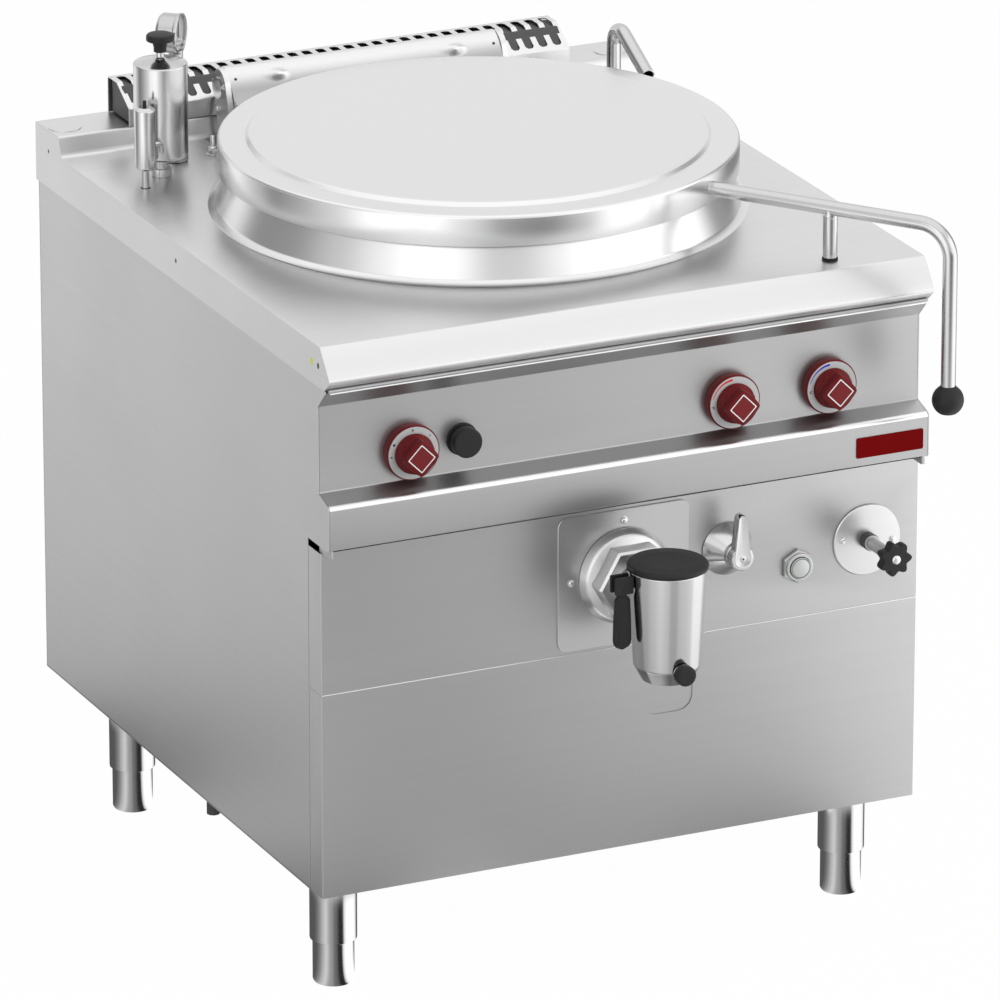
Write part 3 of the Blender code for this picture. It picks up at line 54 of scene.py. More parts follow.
# Shader groups, and short ways to place the nodes that they are made of
def newGroup(name, inputs, outputs):
    group = bpy.data.node_groups.new(name, "ShaderNodeTree")
    for label, kind, value in inputs:
        socket = group.interface.new_socket(label, in_out="INPUT", socket_type=kind)
        if value is not None:
            socket.default_value = value
    for label, kind in outputs:
        group.interface.new_socket(label, in_out="OUTPUT", socket_type=kind)
    enter = group.nodes.new("NodeGroupInput")
    leave = group.nodes.new("NodeGroupOutput")
    return group, enter, leave


def mathNode(tree, operation, first, second, clamp=False):
    node = tree.nodes.new("ShaderNodeMath")
    node.operation = operation
    node.use_clamp = clamp
    for socket, value in zip(node.inputs, (first, second)):
        if isinstance(value, (int, float)):
            socket.default_value = value
        else:
            tree.links.new(value, socket)
    return node.outputs[0]


def vectorNode(tree, operation, first, second=None):
    node = tree.nodes.new("ShaderNodeVectorMath")
    node.operation = operation
    tree.links.new(first, node.inputs[0])
    if isinstance(second, tuple):
        node.inputs[1].default_value = second
    elif second is not None:
        tree.links.new(second, node.inputs[1])
    return node.outputs[0]


def noiseNode(tree, vector, scale, detail=2.0, roughness=0.5):
    node = tree.nodes.new("ShaderNodeTexNoise")
    node.inputs["Scale"].default_value = scale
    node.inputs["Detail"].default_value = detail
    node.inputs["Roughness"].default_value = roughness
    tree.links.new(vector, node.inputs["Vector"])
    return node.outputs["Fac"]


def makeGrainGroup():
    # Brushing: noise that is stretched along one direction, coarse lines with fine ones between
    group, enter, leave = newGroup(
        "brushedGrain",
        [("Vector", "NodeSocketVector", None), ("Stretch", "NodeSocketVector", (8.0, 900.0, 900.0))],
        [("Lines", "NodeSocketFloat"), ("Broad", "NodeSocketFloat")])
    scaled = group.nodes.new("ShaderNodeVectorMath")
    scaled.operation = "MULTIPLY"
    group.links.new(enter.outputs["Vector"], scaled.inputs[0])
    group.links.new(enter.outputs["Stretch"], scaled.inputs[1])
    fine = noiseNode(group, scaled.outputs[0], 1.0, 3.0, 0.6)
    broad = noiseNode(group, scaled.outputs[0], 0.16, 2.0, 0.5)
    group.links.new(fine, leave.inputs["Lines"])
    group.links.new(broad, leave.inputs["Broad"])
    return group


def makeSmudgeGroup():
    # Hand marks and wipe marks: soft clouds, broken by finer ones
    group, enter, leave = newGroup(
        "wipeMarks",
        [("Vector", "NodeSocketVector", None), ("Size", "NodeSocketFloat", 6.0)],
        [("Cloud", "NodeSocketFloat"), ("Speck", "NodeSocketFloat")])
    scaled = group.nodes.new("ShaderNodeVectorMath")
    scaled.operation = "SCALE"
    group.links.new(enter.outputs["Vector"], scaled.inputs[0])
    group.links.new(enter.outputs["Size"], scaled.inputs["Scale"])
    cloud = noiseNode(group, scaled.outputs[0], 1.0, 4.0, 0.55)
    speck = noiseNode(group, scaled.outputs[0], 22.0, 3.0, 0.6)
    spread = mathNode(group, "SUBTRACT", cloud, 0.42, True)
    spread = mathNode(group, "MULTIPLY", spread, 3.2, True)
    group.links.new(spread, leave.inputs["Cloud"])
    group.links.new(speck, leave.inputs["Speck"])
    return group


def makePebbleGroup():
    # The fine pebbled skin of moulded plastic
    group, enter, leave = newGroup(
        "pebbledSkin",
        [("Vector", "NodeSocketVector", None), ("Scale", "NodeSocketFloat", 1400.0)],
        [("Height", "NodeSocketFloat"), ("Wear", "NodeSocketFloat")])
    cells = group.nodes.new("ShaderNodeTexVoronoi")
    cells.feature = "SMOOTH_F1"
    group.links.new(enter.outputs["Vector"], cells.inputs["Vector"])
    group.links.new(enter.outputs["Scale"], cells.inputs["Scale"])
    wear = noiseNode(group, enter.outputs["Vector"], 45.0, 4.0, 0.6)
    group.links.new(cells.outputs["Distance"], leave.inputs["Height"])
    group.links.new(wear, leave.inputs["Wear"])
    return group


grainGroup = makeGrainGroup()
smudgeGroup = makeSmudgeGroup()
pebbleGroup = makePebbleGroup()


# Materials: one maker for steel and one for plastic, with a dictionary of finishes for each
def startMaterial(name, color, roughness, metallic=0.0, **extra):
    # extra: other sockets of the shader, with _ for each space in their names
    material = bpy.data.materials.new(name)
    material.use_nodes = True
    tree = material.node_tree
    shader = tree.nodes["Principled BSDF"]
    shader.inputs["Base Color"].default_value = (*color, 1.0)
    shader.inputs["Roughness"].default_value = roughness
    shader.inputs["Metallic"].default_value = metallic
    for label, value in extra.items():
        shader.inputs[label.replace("_", " ")].default_value = value
    material.diffuse_color = (*color, 1.0)
    return material, tree, shader


def placeVector(tree, usesUv):
    coords = tree.nodes.new("ShaderNodeTexCoord")
    return coords.outputs["UV" if usesUv else "Object"]


def groupNode(tree, group, vector, **values):
    node = tree.nodes.new("ShaderNodeGroup")
    node.node_tree = group
    tree.links.new(vector, node.inputs["Vector"])
    for label, value in values.items():
        node.inputs[label].default_value = value
    return node


def mixColor(tree, factor, first, second):
    node = tree.nodes.new("ShaderNodeMix")
    node.data_type = "RGBA"
    tree.links.new(factor, node.inputs["Factor"])
    node.inputs[6].default_value = (*first, 1.0)
    node.inputs[7].default_value = (*second, 1.0)
    return node.outputs[2]


def stretchValue(tree, value, low, high):
    node = tree.nodes.new("ShaderNodeMapRange")
    node.inputs["To Min"].default_value = low
    node.inputs["To Max"].default_value = high
    tree.links.new(value, node.inputs["Value"])
    return node.outputs["Result"]


def bumpFrom(tree, shader, height, distance, strength):
    node = tree.nodes.new("ShaderNodeBump")
    node.inputs["Distance"].default_value = distance
    node.inputs["Strength"].default_value = strength
    tree.links.new(height, node.inputs["Height"])
    tree.links.new(node.outputs["Normal"], shader.inputs["Normal"])


def makeSteel(name, look):
    # tone: colour; rough: lowest and highest roughness; stretch: brushing along the small number
    tone = look["tone"]
    material, tree, shader = startMaterial(name, (tone, tone, tone * 1.005), look["rough"][0], 1.0)
    vector = placeVector(tree, look.get("uv", False))
    grain = groupNode(tree, grainGroup, vector, Stretch=look["stretch"])
    marks = groupNode(tree, smudgeGroup, placeVector(tree, False), Size=5.0)
    low, high = look["rough"]
    lines = stretchValue(tree, grain.outputs["Lines"], low, high)
    cloud = stretchValue(tree, marks.outputs["Cloud"], 0.0, look.get("smudge", 0.035))
    rough = mathNode(tree, "ADD", lines, cloud, True)
    tree.links.new(rough, shader.inputs["Roughness"])
    dark = tone * look.get("dark", 0.95)
    paintwork = mixColor(tree, grain.outputs["Broad"], (dark, dark, dark), (tone, tone, tone * 1.005))
    if "fall" in look:
        # below one height the steel is darker: tone * share, fading to the whole tone above the other; on
        # the beam this darker lower band is painted shade
        bottom, top, share = look["fall"]
        apart = tree.nodes.new("ShaderNodeSeparateXYZ")
        tree.links.new(placeVector(tree, False), apart.inputs[0])
        fade = tree.nodes.new("ShaderNodeMapRange")
        fade.interpolation_type = "SMOOTHSTEP"
        fade.inputs["From Min"].default_value, fade.inputs["From Max"].default_value = bottom, top
        fade.inputs["To Min"].default_value = share
        tree.links.new(apart.outputs["Z"], fade.inputs["Value"])
        shade = tree.nodes.new("ShaderNodeVectorMath")
        shade.operation = "SCALE"
        tree.links.new(paintwork, shade.inputs[0])
        tree.links.new(fade.outputs["Result"], shade.inputs["Scale"])
        paintwork = shade.outputs[0]
    tree.links.new(paintwork, shader.inputs["Base Color"])
    bumpFrom(tree, shader, grain.outputs["Lines"], 0.0002, look.get("bump", 0.06))
    return material


steelLooks = {
    "panelSteel": {"tone": 0.46, "rough": (0.34, 0.40), "stretch": (6.0, 700.0, 700.0), "bump": 0.05},
    "sideSteel": {"tone": 0.55, "rough": (0.38, 0.44), "stretch": (700.0, 6.0, 700.0), "bump": 0.05},
    "topSteel": {"tone": 0.71, "rough": (0.30, 0.36), "stretch": (6.0, 700.0, 700.0), "bump": 0.05},
    "polishedSteel": {"tone": 0.78, "rough": (0.13, 0.17), "stretch": (2.0, 900.0, 0.0), "bump": 0.02,
                      "uv": True, "smudge": 0.02, "dark": 0.97},
    "footSteel": {"tone": 0.74, "rough": (0.10, 0.14), "stretch": (2.0, 900.0, 0.0), "bump": 0.02,
                  "uv": True, "smudge": 0.03, "dark": 0.97},
    "lidSteel": {"tone": 0.76, "rough": (0.27, 0.29), "stretch": (2.0, 300.0, 0.0), "bump": 0.0,
                 "uv": True, "smudge": 0.02, "dark": 0.99},
    "rodSteel": {"tone": 0.57, "rough": (0.15, 0.19), "stretch": (2.0, 900.0, 0.0), "bump": 0.02,
                 "uv": True, "smudge": 0.02},
    "valveSteel": {"tone": 0.60, "rough": (0.17, 0.22), "stretch": (2.0, 1200.0, 0.0), "bump": 0.03,
                   "uv": True, "smudge": 0.02},
    "drumSteel": {"tone": 0.52, "rough": (0.22, 0.28), "stretch": (2.0, 1200.0, 0.0), "bump": 0.03,
                  "uv": True, "smudge": 0.02},
    "plateSteel": {"tone": 0.53, "rough": (0.28, 0.34), "stretch": (6.0, 700.0, 700.0), "bump": 0.03},
    "cupSteel": {"tone": 0.56, "rough": (0.11, 0.15), "stretch": (2.0, 900.0, 0.0), "bump": 0.02,
                 "uv": True, "smudge": 0.02, "fall": (0.426, 0.433, 0.45)},
    "cockSteel": {"tone": 0.64, "rough": (0.13, 0.17), "stretch": (2.0, 1500.0, 0.0), "bump": 0.03,
                  "uv": True, "smudge": 0.02},
    "buttonSteel": {"tone": 0.54, "rough": (0.26, 0.32), "stretch": (200.0, 200.0, 200.0), "bump": 0.03},
    # the beam's fall: its darker lower band is painted shade
    "beamSteel": {"tone": 0.74, "rough": (0.26, 0.32), "stretch": (6.0, 600.0, 600.0), "bump": 0.04,
                  "fall": (0.920, 0.9395, 0.55)},
    "skirtSteel": {"tone": 0.62, "rough": (0.34, 0.40), "stretch": (700.0, 6.0, 700.0), "bump": 0.05},
    # lighter steel for the painted highlight on the lip's rounded top
    "lipHighlightSteel": {"tone": 0.82, "rough": (0.26, 0.32), "stretch": (6.0, 600.0, 600.0), "bump": 0.03},
    "flangeSteel": {"tone": 0.62, "rough": (0.26, 0.32), "stretch": (2.0, 1500.0, 0.0), "bump": 0.04,
                    "uv": True},
    "softSteel": {"tone": 0.74, "rough": (0.21, 0.25), "stretch": (2.0, 900.0, 0.0), "bump": 0.02,
                  "uv": True, "smudge": 0.02, "dark": 0.97},
    # light steel for the painted highlights in the two gaps
    "edgeHighlightSteel": {"tone": 0.93, "rough": (0.30, 0.36), "stretch": (6.0, 600.0, 600.0), "bump": 0.03},
    # dark steel for the painted shade behind the grille's slots
    "shadedSteel": {"tone": 0.10, "rough": (0.45, 0.55), "stretch": (6.0, 300.0, 300.0), "bump": 0.03},
    "grilleSteel": {"tone": 0.74, "rough": (0.28, 0.34), "stretch": (6.0, 600.0, 600.0), "bump": 0.05},
    "plainSteel": {"tone": 0.45, "rough": (0.36, 0.44), "stretch": (30.0, 30.0, 400.0), "bump": 0.08},
    "bracketSteel": {"tone": 0.42, "rough": (0.34, 0.42), "stretch": (300.0, 300.0, 12.0), "bump": 0.08},
    "castIron": {"tone": 0.13, "rough": (0.55, 0.70), "stretch": (160.0, 160.0, 160.0), "bump": 0.3},
    "screwSteel": {"tone": 0.72, "rough": (0.20, 0.28), "stretch": (500.0, 500.0, 500.0), "bump": 0.04},
}
steel = {name: makeSteel(name, look) for name, look in steelLooks.items()}


def makePlastic(name, look):
    material, tree, shader = startMaterial(name, look["color"], look["rough"][0],
                                           Specular_IOR_Level=look.get("specular", 0.5))
    vector = placeVector(tree, False)
    skin = groupNode(tree, pebbleGroup, vector, Scale=look["pebble"])
    tree.links.new(stretchValue(tree, skin.outputs["Wear"], *look["rough"]), shader.inputs["Roughness"])
    light = tuple(min(1.0, channel * look["fade"]) for channel in look["color"])
    tree.links.new(mixColor(tree, skin.outputs["Wear"], look["color"], light), shader.inputs["Base Color"])
    bumpFrom(tree, shader, skin.outputs["Height"], 0.0001, look["bump"])
    return material


plasticLooks = {
    "blackPlastic": {"color": (0.013, 0.013, 0.0135), "rough": (0.42, 0.58), "pebble": 1500.0, "fade": 1.3,
                     "bump": 0.25, "specular": 0.3},
    "blackRubber": {"color": (0.011, 0.011, 0.011), "rough": (0.65, 0.80), "pebble": 900.0, "fade": 1.4,
                    "bump": 0.35, "specular": 0.3},
    "redPlastic": {"color": (0.125, 0.006, 0.008), "rough": (0.36, 0.46), "pebble": 1800.0, "fade": 1.1,
                   "bump": 0.10, "specular": 0.18},
    "redFace": {"color": (0.175, 0.020, 0.022), "rough": (0.50, 0.60), "pebble": 1800.0, "fade": 1.06,
                "bump": 0.08, "specular": 0.15},
    "redPlate": {"color": (0.172, 0.0005, 0.001), "rough": (0.35, 0.45), "pebble": 2500.0, "fade": 1.0,
                 "bump": 0.03, "specular": 0.05},
    "whitePrint": {"color": (0.86, 0.86, 0.86), "rough": (0.40, 0.50), "pebble": 2500.0, "fade": 0.95,
                   "bump": 0.05},
    "silverPrint": {"color": (0.56, 0.57, 0.57), "rough": (0.35, 0.48), "pebble": 2500.0, "fade": 0.94,
                    "bump": 0.05},
    # black for print, and for painted shade in holes and a dimple
    "blackPrintAndShade": {"color": (0.015, 0.015, 0.016), "rough": (0.40, 0.50), "pebble": 2500.0, "fade": 1.3,
                   "bump": 0.05},
    "redPrint": {"color": (0.78, 0.006, 0.006), "rough": (0.35, 0.45), "pebble": 2500.0, "fade": 0.95,
                 "bump": 0.05},
    "bluePrint": {"color": (0.004, 0.004, 0.52), "rough": (0.35, 0.45), "pebble": 2500.0, "fade": 0.95,
                  "bump": 0.05},
    "greenRing": {"color": (0.16, 0.25, 0.15), "rough": (0.30, 0.42), "pebble": 2500.0, "fade": 0.92,
                  "bump": 0.05},
    "yellowDot": {"color": (0.72, 0.78, 0.02), "rough": (0.40, 0.50), "pebble": 2500.0, "fade": 0.95,
                  "bump": 0.05},
    "dialWhite": {"color": (0.84, 0.84, 0.83), "rough": (0.45, 0.55), "pebble": 2500.0, "fade": 0.97,
                  "bump": 0.03},
}
plastic = {name: makePlastic(name, look) for name, look in plasticLooks.items()}
clearGlass = startMaterial("clearGlass", (0.97, 0.98, 0.98), 0.03, Transmission_Weight=1.0, IOR=1.45)[0]
print("materials made:", len(bpy.data.materials))


# Surfaces that are worked out as arrays
def roundCorners(points, radii, steps=5):
    # Each corner of an outline becomes an arc that touches both its sides:
    # centre = corner + bisector * r / sin(half angle)
    points = np.asarray(points, float)
    made = [points[:1]]
    for n in range(1, len(points) - 1):
        corner, radius = points[n], radii[n]
        before, after = points[n - 1] - corner, points[n + 1] - corner
        lengthBefore, lengthAfter = np.linalg.norm(before), np.linalg.norm(after)
        before, after = before / lengthBefore, after / lengthAfter
        half = math.acos(max(-1.0, min(1.0, float(before @ after)))) / 2
        if radius <= 0 or abs(half - math.pi / 2) < 1e-4:
            made.append(points[n:n + 1])
            continue
        touch = min(radius / math.tan(half), lengthBefore * 0.49, lengthAfter * 0.49)
        radius = touch * math.tan(half)
        bisector = (before + after) / np.linalg.norm(before + after)
        centre = corner + bisector * radius / math.sin(half)
        start, end = corner + before * touch - centre, corner + after * touch - centre
        share = np.linspace(0, 1, steps)[:, None]
        whole = math.acos(max(-1.0, min(1.0, float(start @ end) / radius ** 2)))
        arc = (np.sin((1 - share) * whole) * start + np.sin(share * whole) * end) / math.sin(whole)
        made.append(centre + arc)
    made.append(points[-1:])
    return np.concatenate(made)


def rounded(points, steps=5):
    # The same for points that are written as (radius, height), or (radius, height, rounding)
    return roundCorners([point[:2] for point in points], [(*point, 0)[2] for point in points], steps)


def gridMesh(name, grid, wrapRows=False, sharp=38.0):
    # A grid of points becomes quads: corners (i, j), (i+1, j), (i+1, j+1), (i, j+1). Columns close on
    # themselves, rows may, and points that fall together, such as a pole's, are merged
    rows, columns = grid.shape[:2]
    i, j = np.meshgrid(np.arange(rows if wrapRows else rows - 1),
                       np.arange(columns), indexing="ij")
    nextI, nextJ = (i + 1) % rows, (j + 1) % columns
    quads = np.stack([i * columns + j, nextI * columns + j, nextI * columns + nextJ, i * columns + nextJ],
                     -1)
    quads = quads.reshape(-1, 4)
    steps = np.linalg.norm(np.diff(grid, axis=0), axis=2).max(1)
    along = np.concatenate([[0.0], np.cumsum(steps), [0.0]])
    lower, upper = along[i], along[i + 1]
    left, right = j / columns, (j + 1) / columns
    uvs = np.stack([np.stack([left, lower], -1), np.stack([left, upper], -1),
                    np.stack([right, upper], -1), np.stack([right, lower], -1)], 2)
    mesh = bpy.data.meshes.new(name)
    mesh.vertices.add(rows * columns)
    mesh.vertices.foreach_set("co", grid.reshape(-1).astype(np.float32))
    mesh.loops.add(quads.size)
    mesh.loops.foreach_set("vertex_index", quads.reshape(-1).astype(np.int32))
    mesh.polygons.add(len(quads))
    mesh.polygons.foreach_set("loop_start", np.arange(len(quads), dtype=np.int32) * 4)
    layer = mesh.uv_layers.new(name="surface")
    mesh.update(calc_edges=True)
    layer.data.foreach_set("uv", uvs.reshape(-1).astype(np.float32))
    mended = bmesh.new()
    mended.from_mesh(mesh)
    bmesh.ops.remove_doubles(mended, verts=mended.verts, dist=1e-6)
    bmesh.ops.recalc_face_normals(mended, faces=mended.faces)
    mended.to_mesh(mesh)
    mended.free()
    mesh.shade_smooth()
    mesh.set_sharp_from_angle(angle=math.radians(sharp))
    return mesh


def turnedMesh(name, profile, steps=96, closed=False, sharp=38.0):
    # A profile of (radius, height) pairs goes round the axis: x = r cos a, y = r sin a, z = h
    profile = np.asarray(profile, float)
    angle = np.arange(steps) * 2 * math.pi / steps
    grid = np.stack([np.outer(profile[:, 0], np.cos(angle)), np.outer(profile[:, 0], np.sin(angle)),
                     np.repeat(profile[:, 1:], steps, axis=1)], -1)
    return gridMesh(name, grid, wrapRows=closed, sharp=sharp)


def sweptMesh(name, path, section, side):
    # A section of (across, up) pairs is carried along a path: point = path + across * n + up * b,
    # with b the given side direction and n square to it and to the path; both ends are closed
    path, section = np.asarray(path, float), np.asarray(section, float)
    tangent = np.gradient(path, axis=0)
    tangent /= np.linalg.norm(tangent, axis=1)[:, None]
    side = np.asarray(side, float) / np.linalg.norm(side)
    normal = np.cross(side, tangent)
    normal /= np.linalg.norm(normal, axis=1)[:, None]
    up = np.cross(tangent, normal)
    grid = path[:, None] + section[None, :, 0:1] * normal[:, None] + section[None, :, 1:2] * up[:, None]
    return gridMesh(name, closeEnds(grid))


def closeEnds(grid):
    # One more ring at each end, drawn together in that end's middle
    first = np.broadcast_to(grid[0].mean(0), grid[0].shape)
    last = np.broadcast_to(grid[-1].mean(0), grid[-1].shape)
    return np.concatenate([first[None], grid, last[None]])


def circleSection(radius, steps=24):
    angle = np.arange(steps) * 2 * math.pi / steps
    return np.stack([radius * np.cos(angle), radius * np.sin(angle)], -1)


def boxSection(width, height, radius, steps=4):
    # A rectangle with rounded corners, as one closed outline
    angle = np.linspace(0, math.pi / 2, steps)
    corner = np.stack([np.cos(angle), np.sin(angle)], -1) * radius
    turns = [np.array([[c, -s], [s, c]]) for c, s in ((1, 0), (0, 1), (-1, 0), (0, -1))]
    middles = [(1, 1), (-1, 1), (-1, -1), (1, -1)]
    return np.concatenate([corner @ turn.T + (np.array(place) * (width / 2 - radius, height / 2 - radius))
                           for turn, place in zip(turns, middles)])


def plateMesh(name, outline, bottom, top, edge=0.0004, sharp=38.0):
    # An outline of (x, y) pairs becomes a plate whose rims are rounded: rings at four heights,
    # the outermost two drawn in by the edge
    outline = np.asarray(outline, float)
    centre = outline.mean(0)
    inner = centre + (outline - centre) * (1 - edge / np.linalg.norm(outline - centre, axis=1).mean())
    rings = [(inner, bottom), (outline, bottom + edge), (outline, top - edge), (inner, top)]
    grid = np.stack([np.concatenate([ring, np.full((len(ring), 1), height)], 1) for ring, height in rings])
    return gridMesh(name, closeEnds(grid), sharp=sharp)


def regularOutline(corner, sides, start=0.0, rounding=0.0, steps=3):
    angle = start + np.arange(sides) * 2 * math.pi / sides
    points = np.stack([corner * np.cos(angle), corner * np.sin(angle)], -1)
    if rounding <= 0:
        return points
    looped = np.concatenate([points[-1:], points, points[:1]])
    return roundCorners(looped, [0] + [rounding] * sides + [0], steps)[1:-1]


facingFront = Matrix.Rotation(math.pi / 2, 4, "X")


def standAt(mesh, place, turn=None):
    matrix = Matrix.Translation(middle + Vector(place))
    mesh.transform(matrix @ turn if turn is not None else matrix)
    return mesh


def addPiece(name, mesh, material, body, stands=()):
    piece = bpy.data.objects.new(name, mesh)
    bpy.context.scene.collection.objects.link(piece)
    mesh.materials.clear()
    mesh.materials.append(material)
    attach(piece, body)
    if stands:
        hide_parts(*((stands,) if isinstance(stands, str) else stands))
    return piece


def joinMeshes(name, meshes):
    joined = bmesh.new()
    for mesh in meshes:
        joined.from_mesh(mesh)
    made = bpy.data.meshes.new(name)
    joined.to_mesh(made)
    joined.free()
    for mesh in meshes:
        bpy.data.meshes.remove(mesh)
    made.shade_smooth()
    made.set_sharp_from_angle(angle=math.radians(38))
    return made


def smoothSheet(node, material, body, angle=35.0, fold=0.0, sideways=None):
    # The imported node's own shape, with its points merged so that its bends shade smoothly and its sharp
    # edges folded over; its faces that look left or right may have a finish of their own
    source = nodes[node].data
    points = np.empty(len(source.vertices) * 3, np.float32)
    source.vertices.foreach_get("co", points)
    corners = np.empty(len(source.loops), np.int32)
    source.loops.foreach_get("vertex_index", corners)
    mesh = bpy.data.meshes.new(node + "Sheet")
    mesh.from_pydata(points.reshape(-1, 3), [], corners.reshape(-1, 3))
    merged = bmesh.new()
    merged.from_mesh(mesh)
    bmesh.ops.remove_doubles(merged, verts=merged.verts, dist=1e-5)
    bmesh.ops.dissolve_limit(merged, angle_limit=math.radians(0.05), verts=merged.verts, edges=merged.edges)
    merged.to_mesh(mesh)
    merged.free()
    mesh.shade_smooth()
    mesh.set_sharp_from_angle(angle=math.radians(angle))
    piece = addPiece(node + "_dressed", mesh, material, body, node)
    if sideways:
        mesh.materials.append(sideways)
        for face in mesh.polygons:
            face.material_index = int(abs(face.normal.x) > 0.9)
    if node == "worktop":
        # its sides stand 0.1 mm back, so that the marks on them stay inside the CAD model's box
        mesh.transform(Matrix.Translation((middle.x, 0, 0)) @ Matrix.Scale(0.99975, 4, (1, 0, 0))
                       @ Matrix.Translation((-middle.x, 0, 0)))
    if node == "control_panel":
        # the rounded top of its lip gets a lighter steel than the rest, as a painted highlight
        mesh.materials.append(steel["lipHighlightSteel"])
        for face in mesh.polygons:
            face.material_index = int(0.12 < face.normal.z < 0.945 and 0.645 < face.center.z < 0.66)
    if fold:
        rounding = piece.modifiers.new("fold", "BEVEL")
        rounding.width, rounding.segments = fold, 2
        rounding.harden_normals = True
        rounding.limit_method, rounding.angle_limit = "ANGLE", math.radians(30)
    return piece


def paint(material, *names):
    for name in names:
        for slot in nodes[name].material_slots:
            slot.material = material


# Cabinet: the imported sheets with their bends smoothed, each in its own finish
cabinet = {"fold": 0.0003,
           "finish": {"worktop": "topSteel", "control_panel": "panelSteel",
                      "upper_front_panel": "panelSteel", "lower_front_panel": "panelSteel",
                      "side_panel_left": "sideSteel", "side_panel_right": "sideSteel",
                      "flue_grille": "grilleSteel"},
           "sideways": {"worktop": "skirtSteel", "upper_front_panel": "sideSteel",
                        "lower_front_panel": "sideSteel"}}
for node, finish in cabinet["finish"].items():
    sideways = cabinet["sideways"].get(node)
    smoothSheet(node, steel[finish], "cabinet", fold=cabinet["fold"],
                sideways=steel[sideways] if sideways else None)
smoothSheet("base_tray", steel["plainSteel"], "cabinet")
paint(steel["sideSteel"], "rear_panel")
paint(steel["plainSteel"], "steam_jacket", "jacket_floor", "combustion_chamber", "flue_duct", "drain_pipe",
      "balance_spring")
paint(steel["castIron"], "burner")
smoothSheet("vessel", steel["lidSteel"], "cabinet")
print("cabinet dressed")

# Thin bright rods in two narrow gaps, painted highlights of the edges there: (from x, to x, y, z, half
# height);
# and a dark sheet of painted shade in the hollow behind the grille's slots
strips = {"nose": ((-0.396, 0.396, -0.4425, 0.7978, 0.0010),),
          "seam": ((-0.3975, 0.0262, -0.4164, 0.4084, 0.0005), (0.0946, 0.3975, -0.4164, 0.4084, 0.0005))}


def makeStrips(c):
    for name, lines in c.items():
        made = []
        for left, right, y, z, half in lines:
            path = [(left, y, z), (left + 0.001, y, z), (right - 0.001, y, z), (right, y, z)]
            made.append(sweptMesh("line", path, circleSection(half, 12), (0, 0, 1)))
        # each rod is a painted highlight along an edge, a bright copy of the steel
        addPiece(name + "_line", standAt(joinMeshes(name, made), (0, 0, 0)), steel["edgeHighlightSteel"],
                 "cabinet")
    shade = sweptMesh("shade",
                      [(-0.3962, -0.4368, 0.7988), (-0.39, -0.4368, 0.7988), (0.39, -0.4368, 0.7988),
                       (0.3962, -0.4368, 0.7988)], circleSection(0.0026, 16), (0, 0, 1))
    addPiece("nose_backing", standAt(shade, (0, 0, 0)), steel["panelSteel"], "cabinet")
    spacers = []
    for side in (-1, 1):
        spacer = plateMesh("spacer", boxSection(0.0055, 0.029, 0.001, 3), 0.5885, 0.6002, 0.0005)
        spacer.transform(Matrix.Translation((side * 0.3940, -0.4235, 0)))
        spacers.append(spacer)
    addPiece("lip_spacers", standAt(joinMeshes("spacers", spacers), (0, 0, 0)), steel["panelSteel"],
             "cabinet")
    # a dark sheet in the hollow behind the grille's slots: painted shade
    liner = rounded([(0.3790, 0.8960), (0.4040, 0.9195, 0.003), (0.4365, 0.9195, 0.001),
                     (0.4365, 0.8790, 0.001), (0.3790, 0.8790)], 3)
    grid = np.stack([np.concatenate([np.full((len(liner), 1), x), liner], 1)
                     for x in (-0.3005, -0.3, 0.3, 0.3005)])
    mesh = gridMesh("liner", closeEnds(grid))
    addPiece("grille_hollow", standAt(mesh, (0, 0, 0)), steel["shadedSteel"], "cabinet")


makeStrips(strips)

# Collar: a mirror-bright cone that is welded to the worktop and flares out to it
collar = {"axis": (0.0, -0.0034), "top": 0.9330, "break": 0.898, "radius": 0.3055, "foot": 0.3226,
          "weld": 0.3284, "worktop": level, "sheet": 0.0006}


def makeCollar(c):
    lift = c["sheet"]
    outer = rounded([(c["radius"] + lift, c["top"]), (c["radius"] + lift, c["break"], 0.016),
                     (c["foot"] + lift, c["worktop"] + 0.006, 0.007),
                     (c["weld"] + 0.002, c["worktop"] + lift),
                     (c["weld"] + 0.004, c["worktop"] + 0.0001)], 9)
    inner = np.array([(c["weld"] + 0.003, c["worktop"] - 0.0006), (c["foot"] - 0.001, c["worktop"] + 0.003),
                      (c["radius"] - 0.0002, c["break"]), (c["radius"] - 0.0002, c["top"])])
    mesh = turnedMesh("collar", np.concatenate([outer, inner]), 160, closed=True)
    standAt(mesh, (*c["axis"], 0))
    addPiece("vessel_collar", mesh, steel["softSteel"], "cabinet")


makeCollar(collar)

# Lid: skirt, flat rim and a raised disc with a soft step
lid = {"radius": 0.320, "top": 0.937, "skirt": 0.0393, "disc": 0.2844, "rise": 0.006, "sheet": 0.0015,
       "edge": 0.0042, "crown": 0.0016}


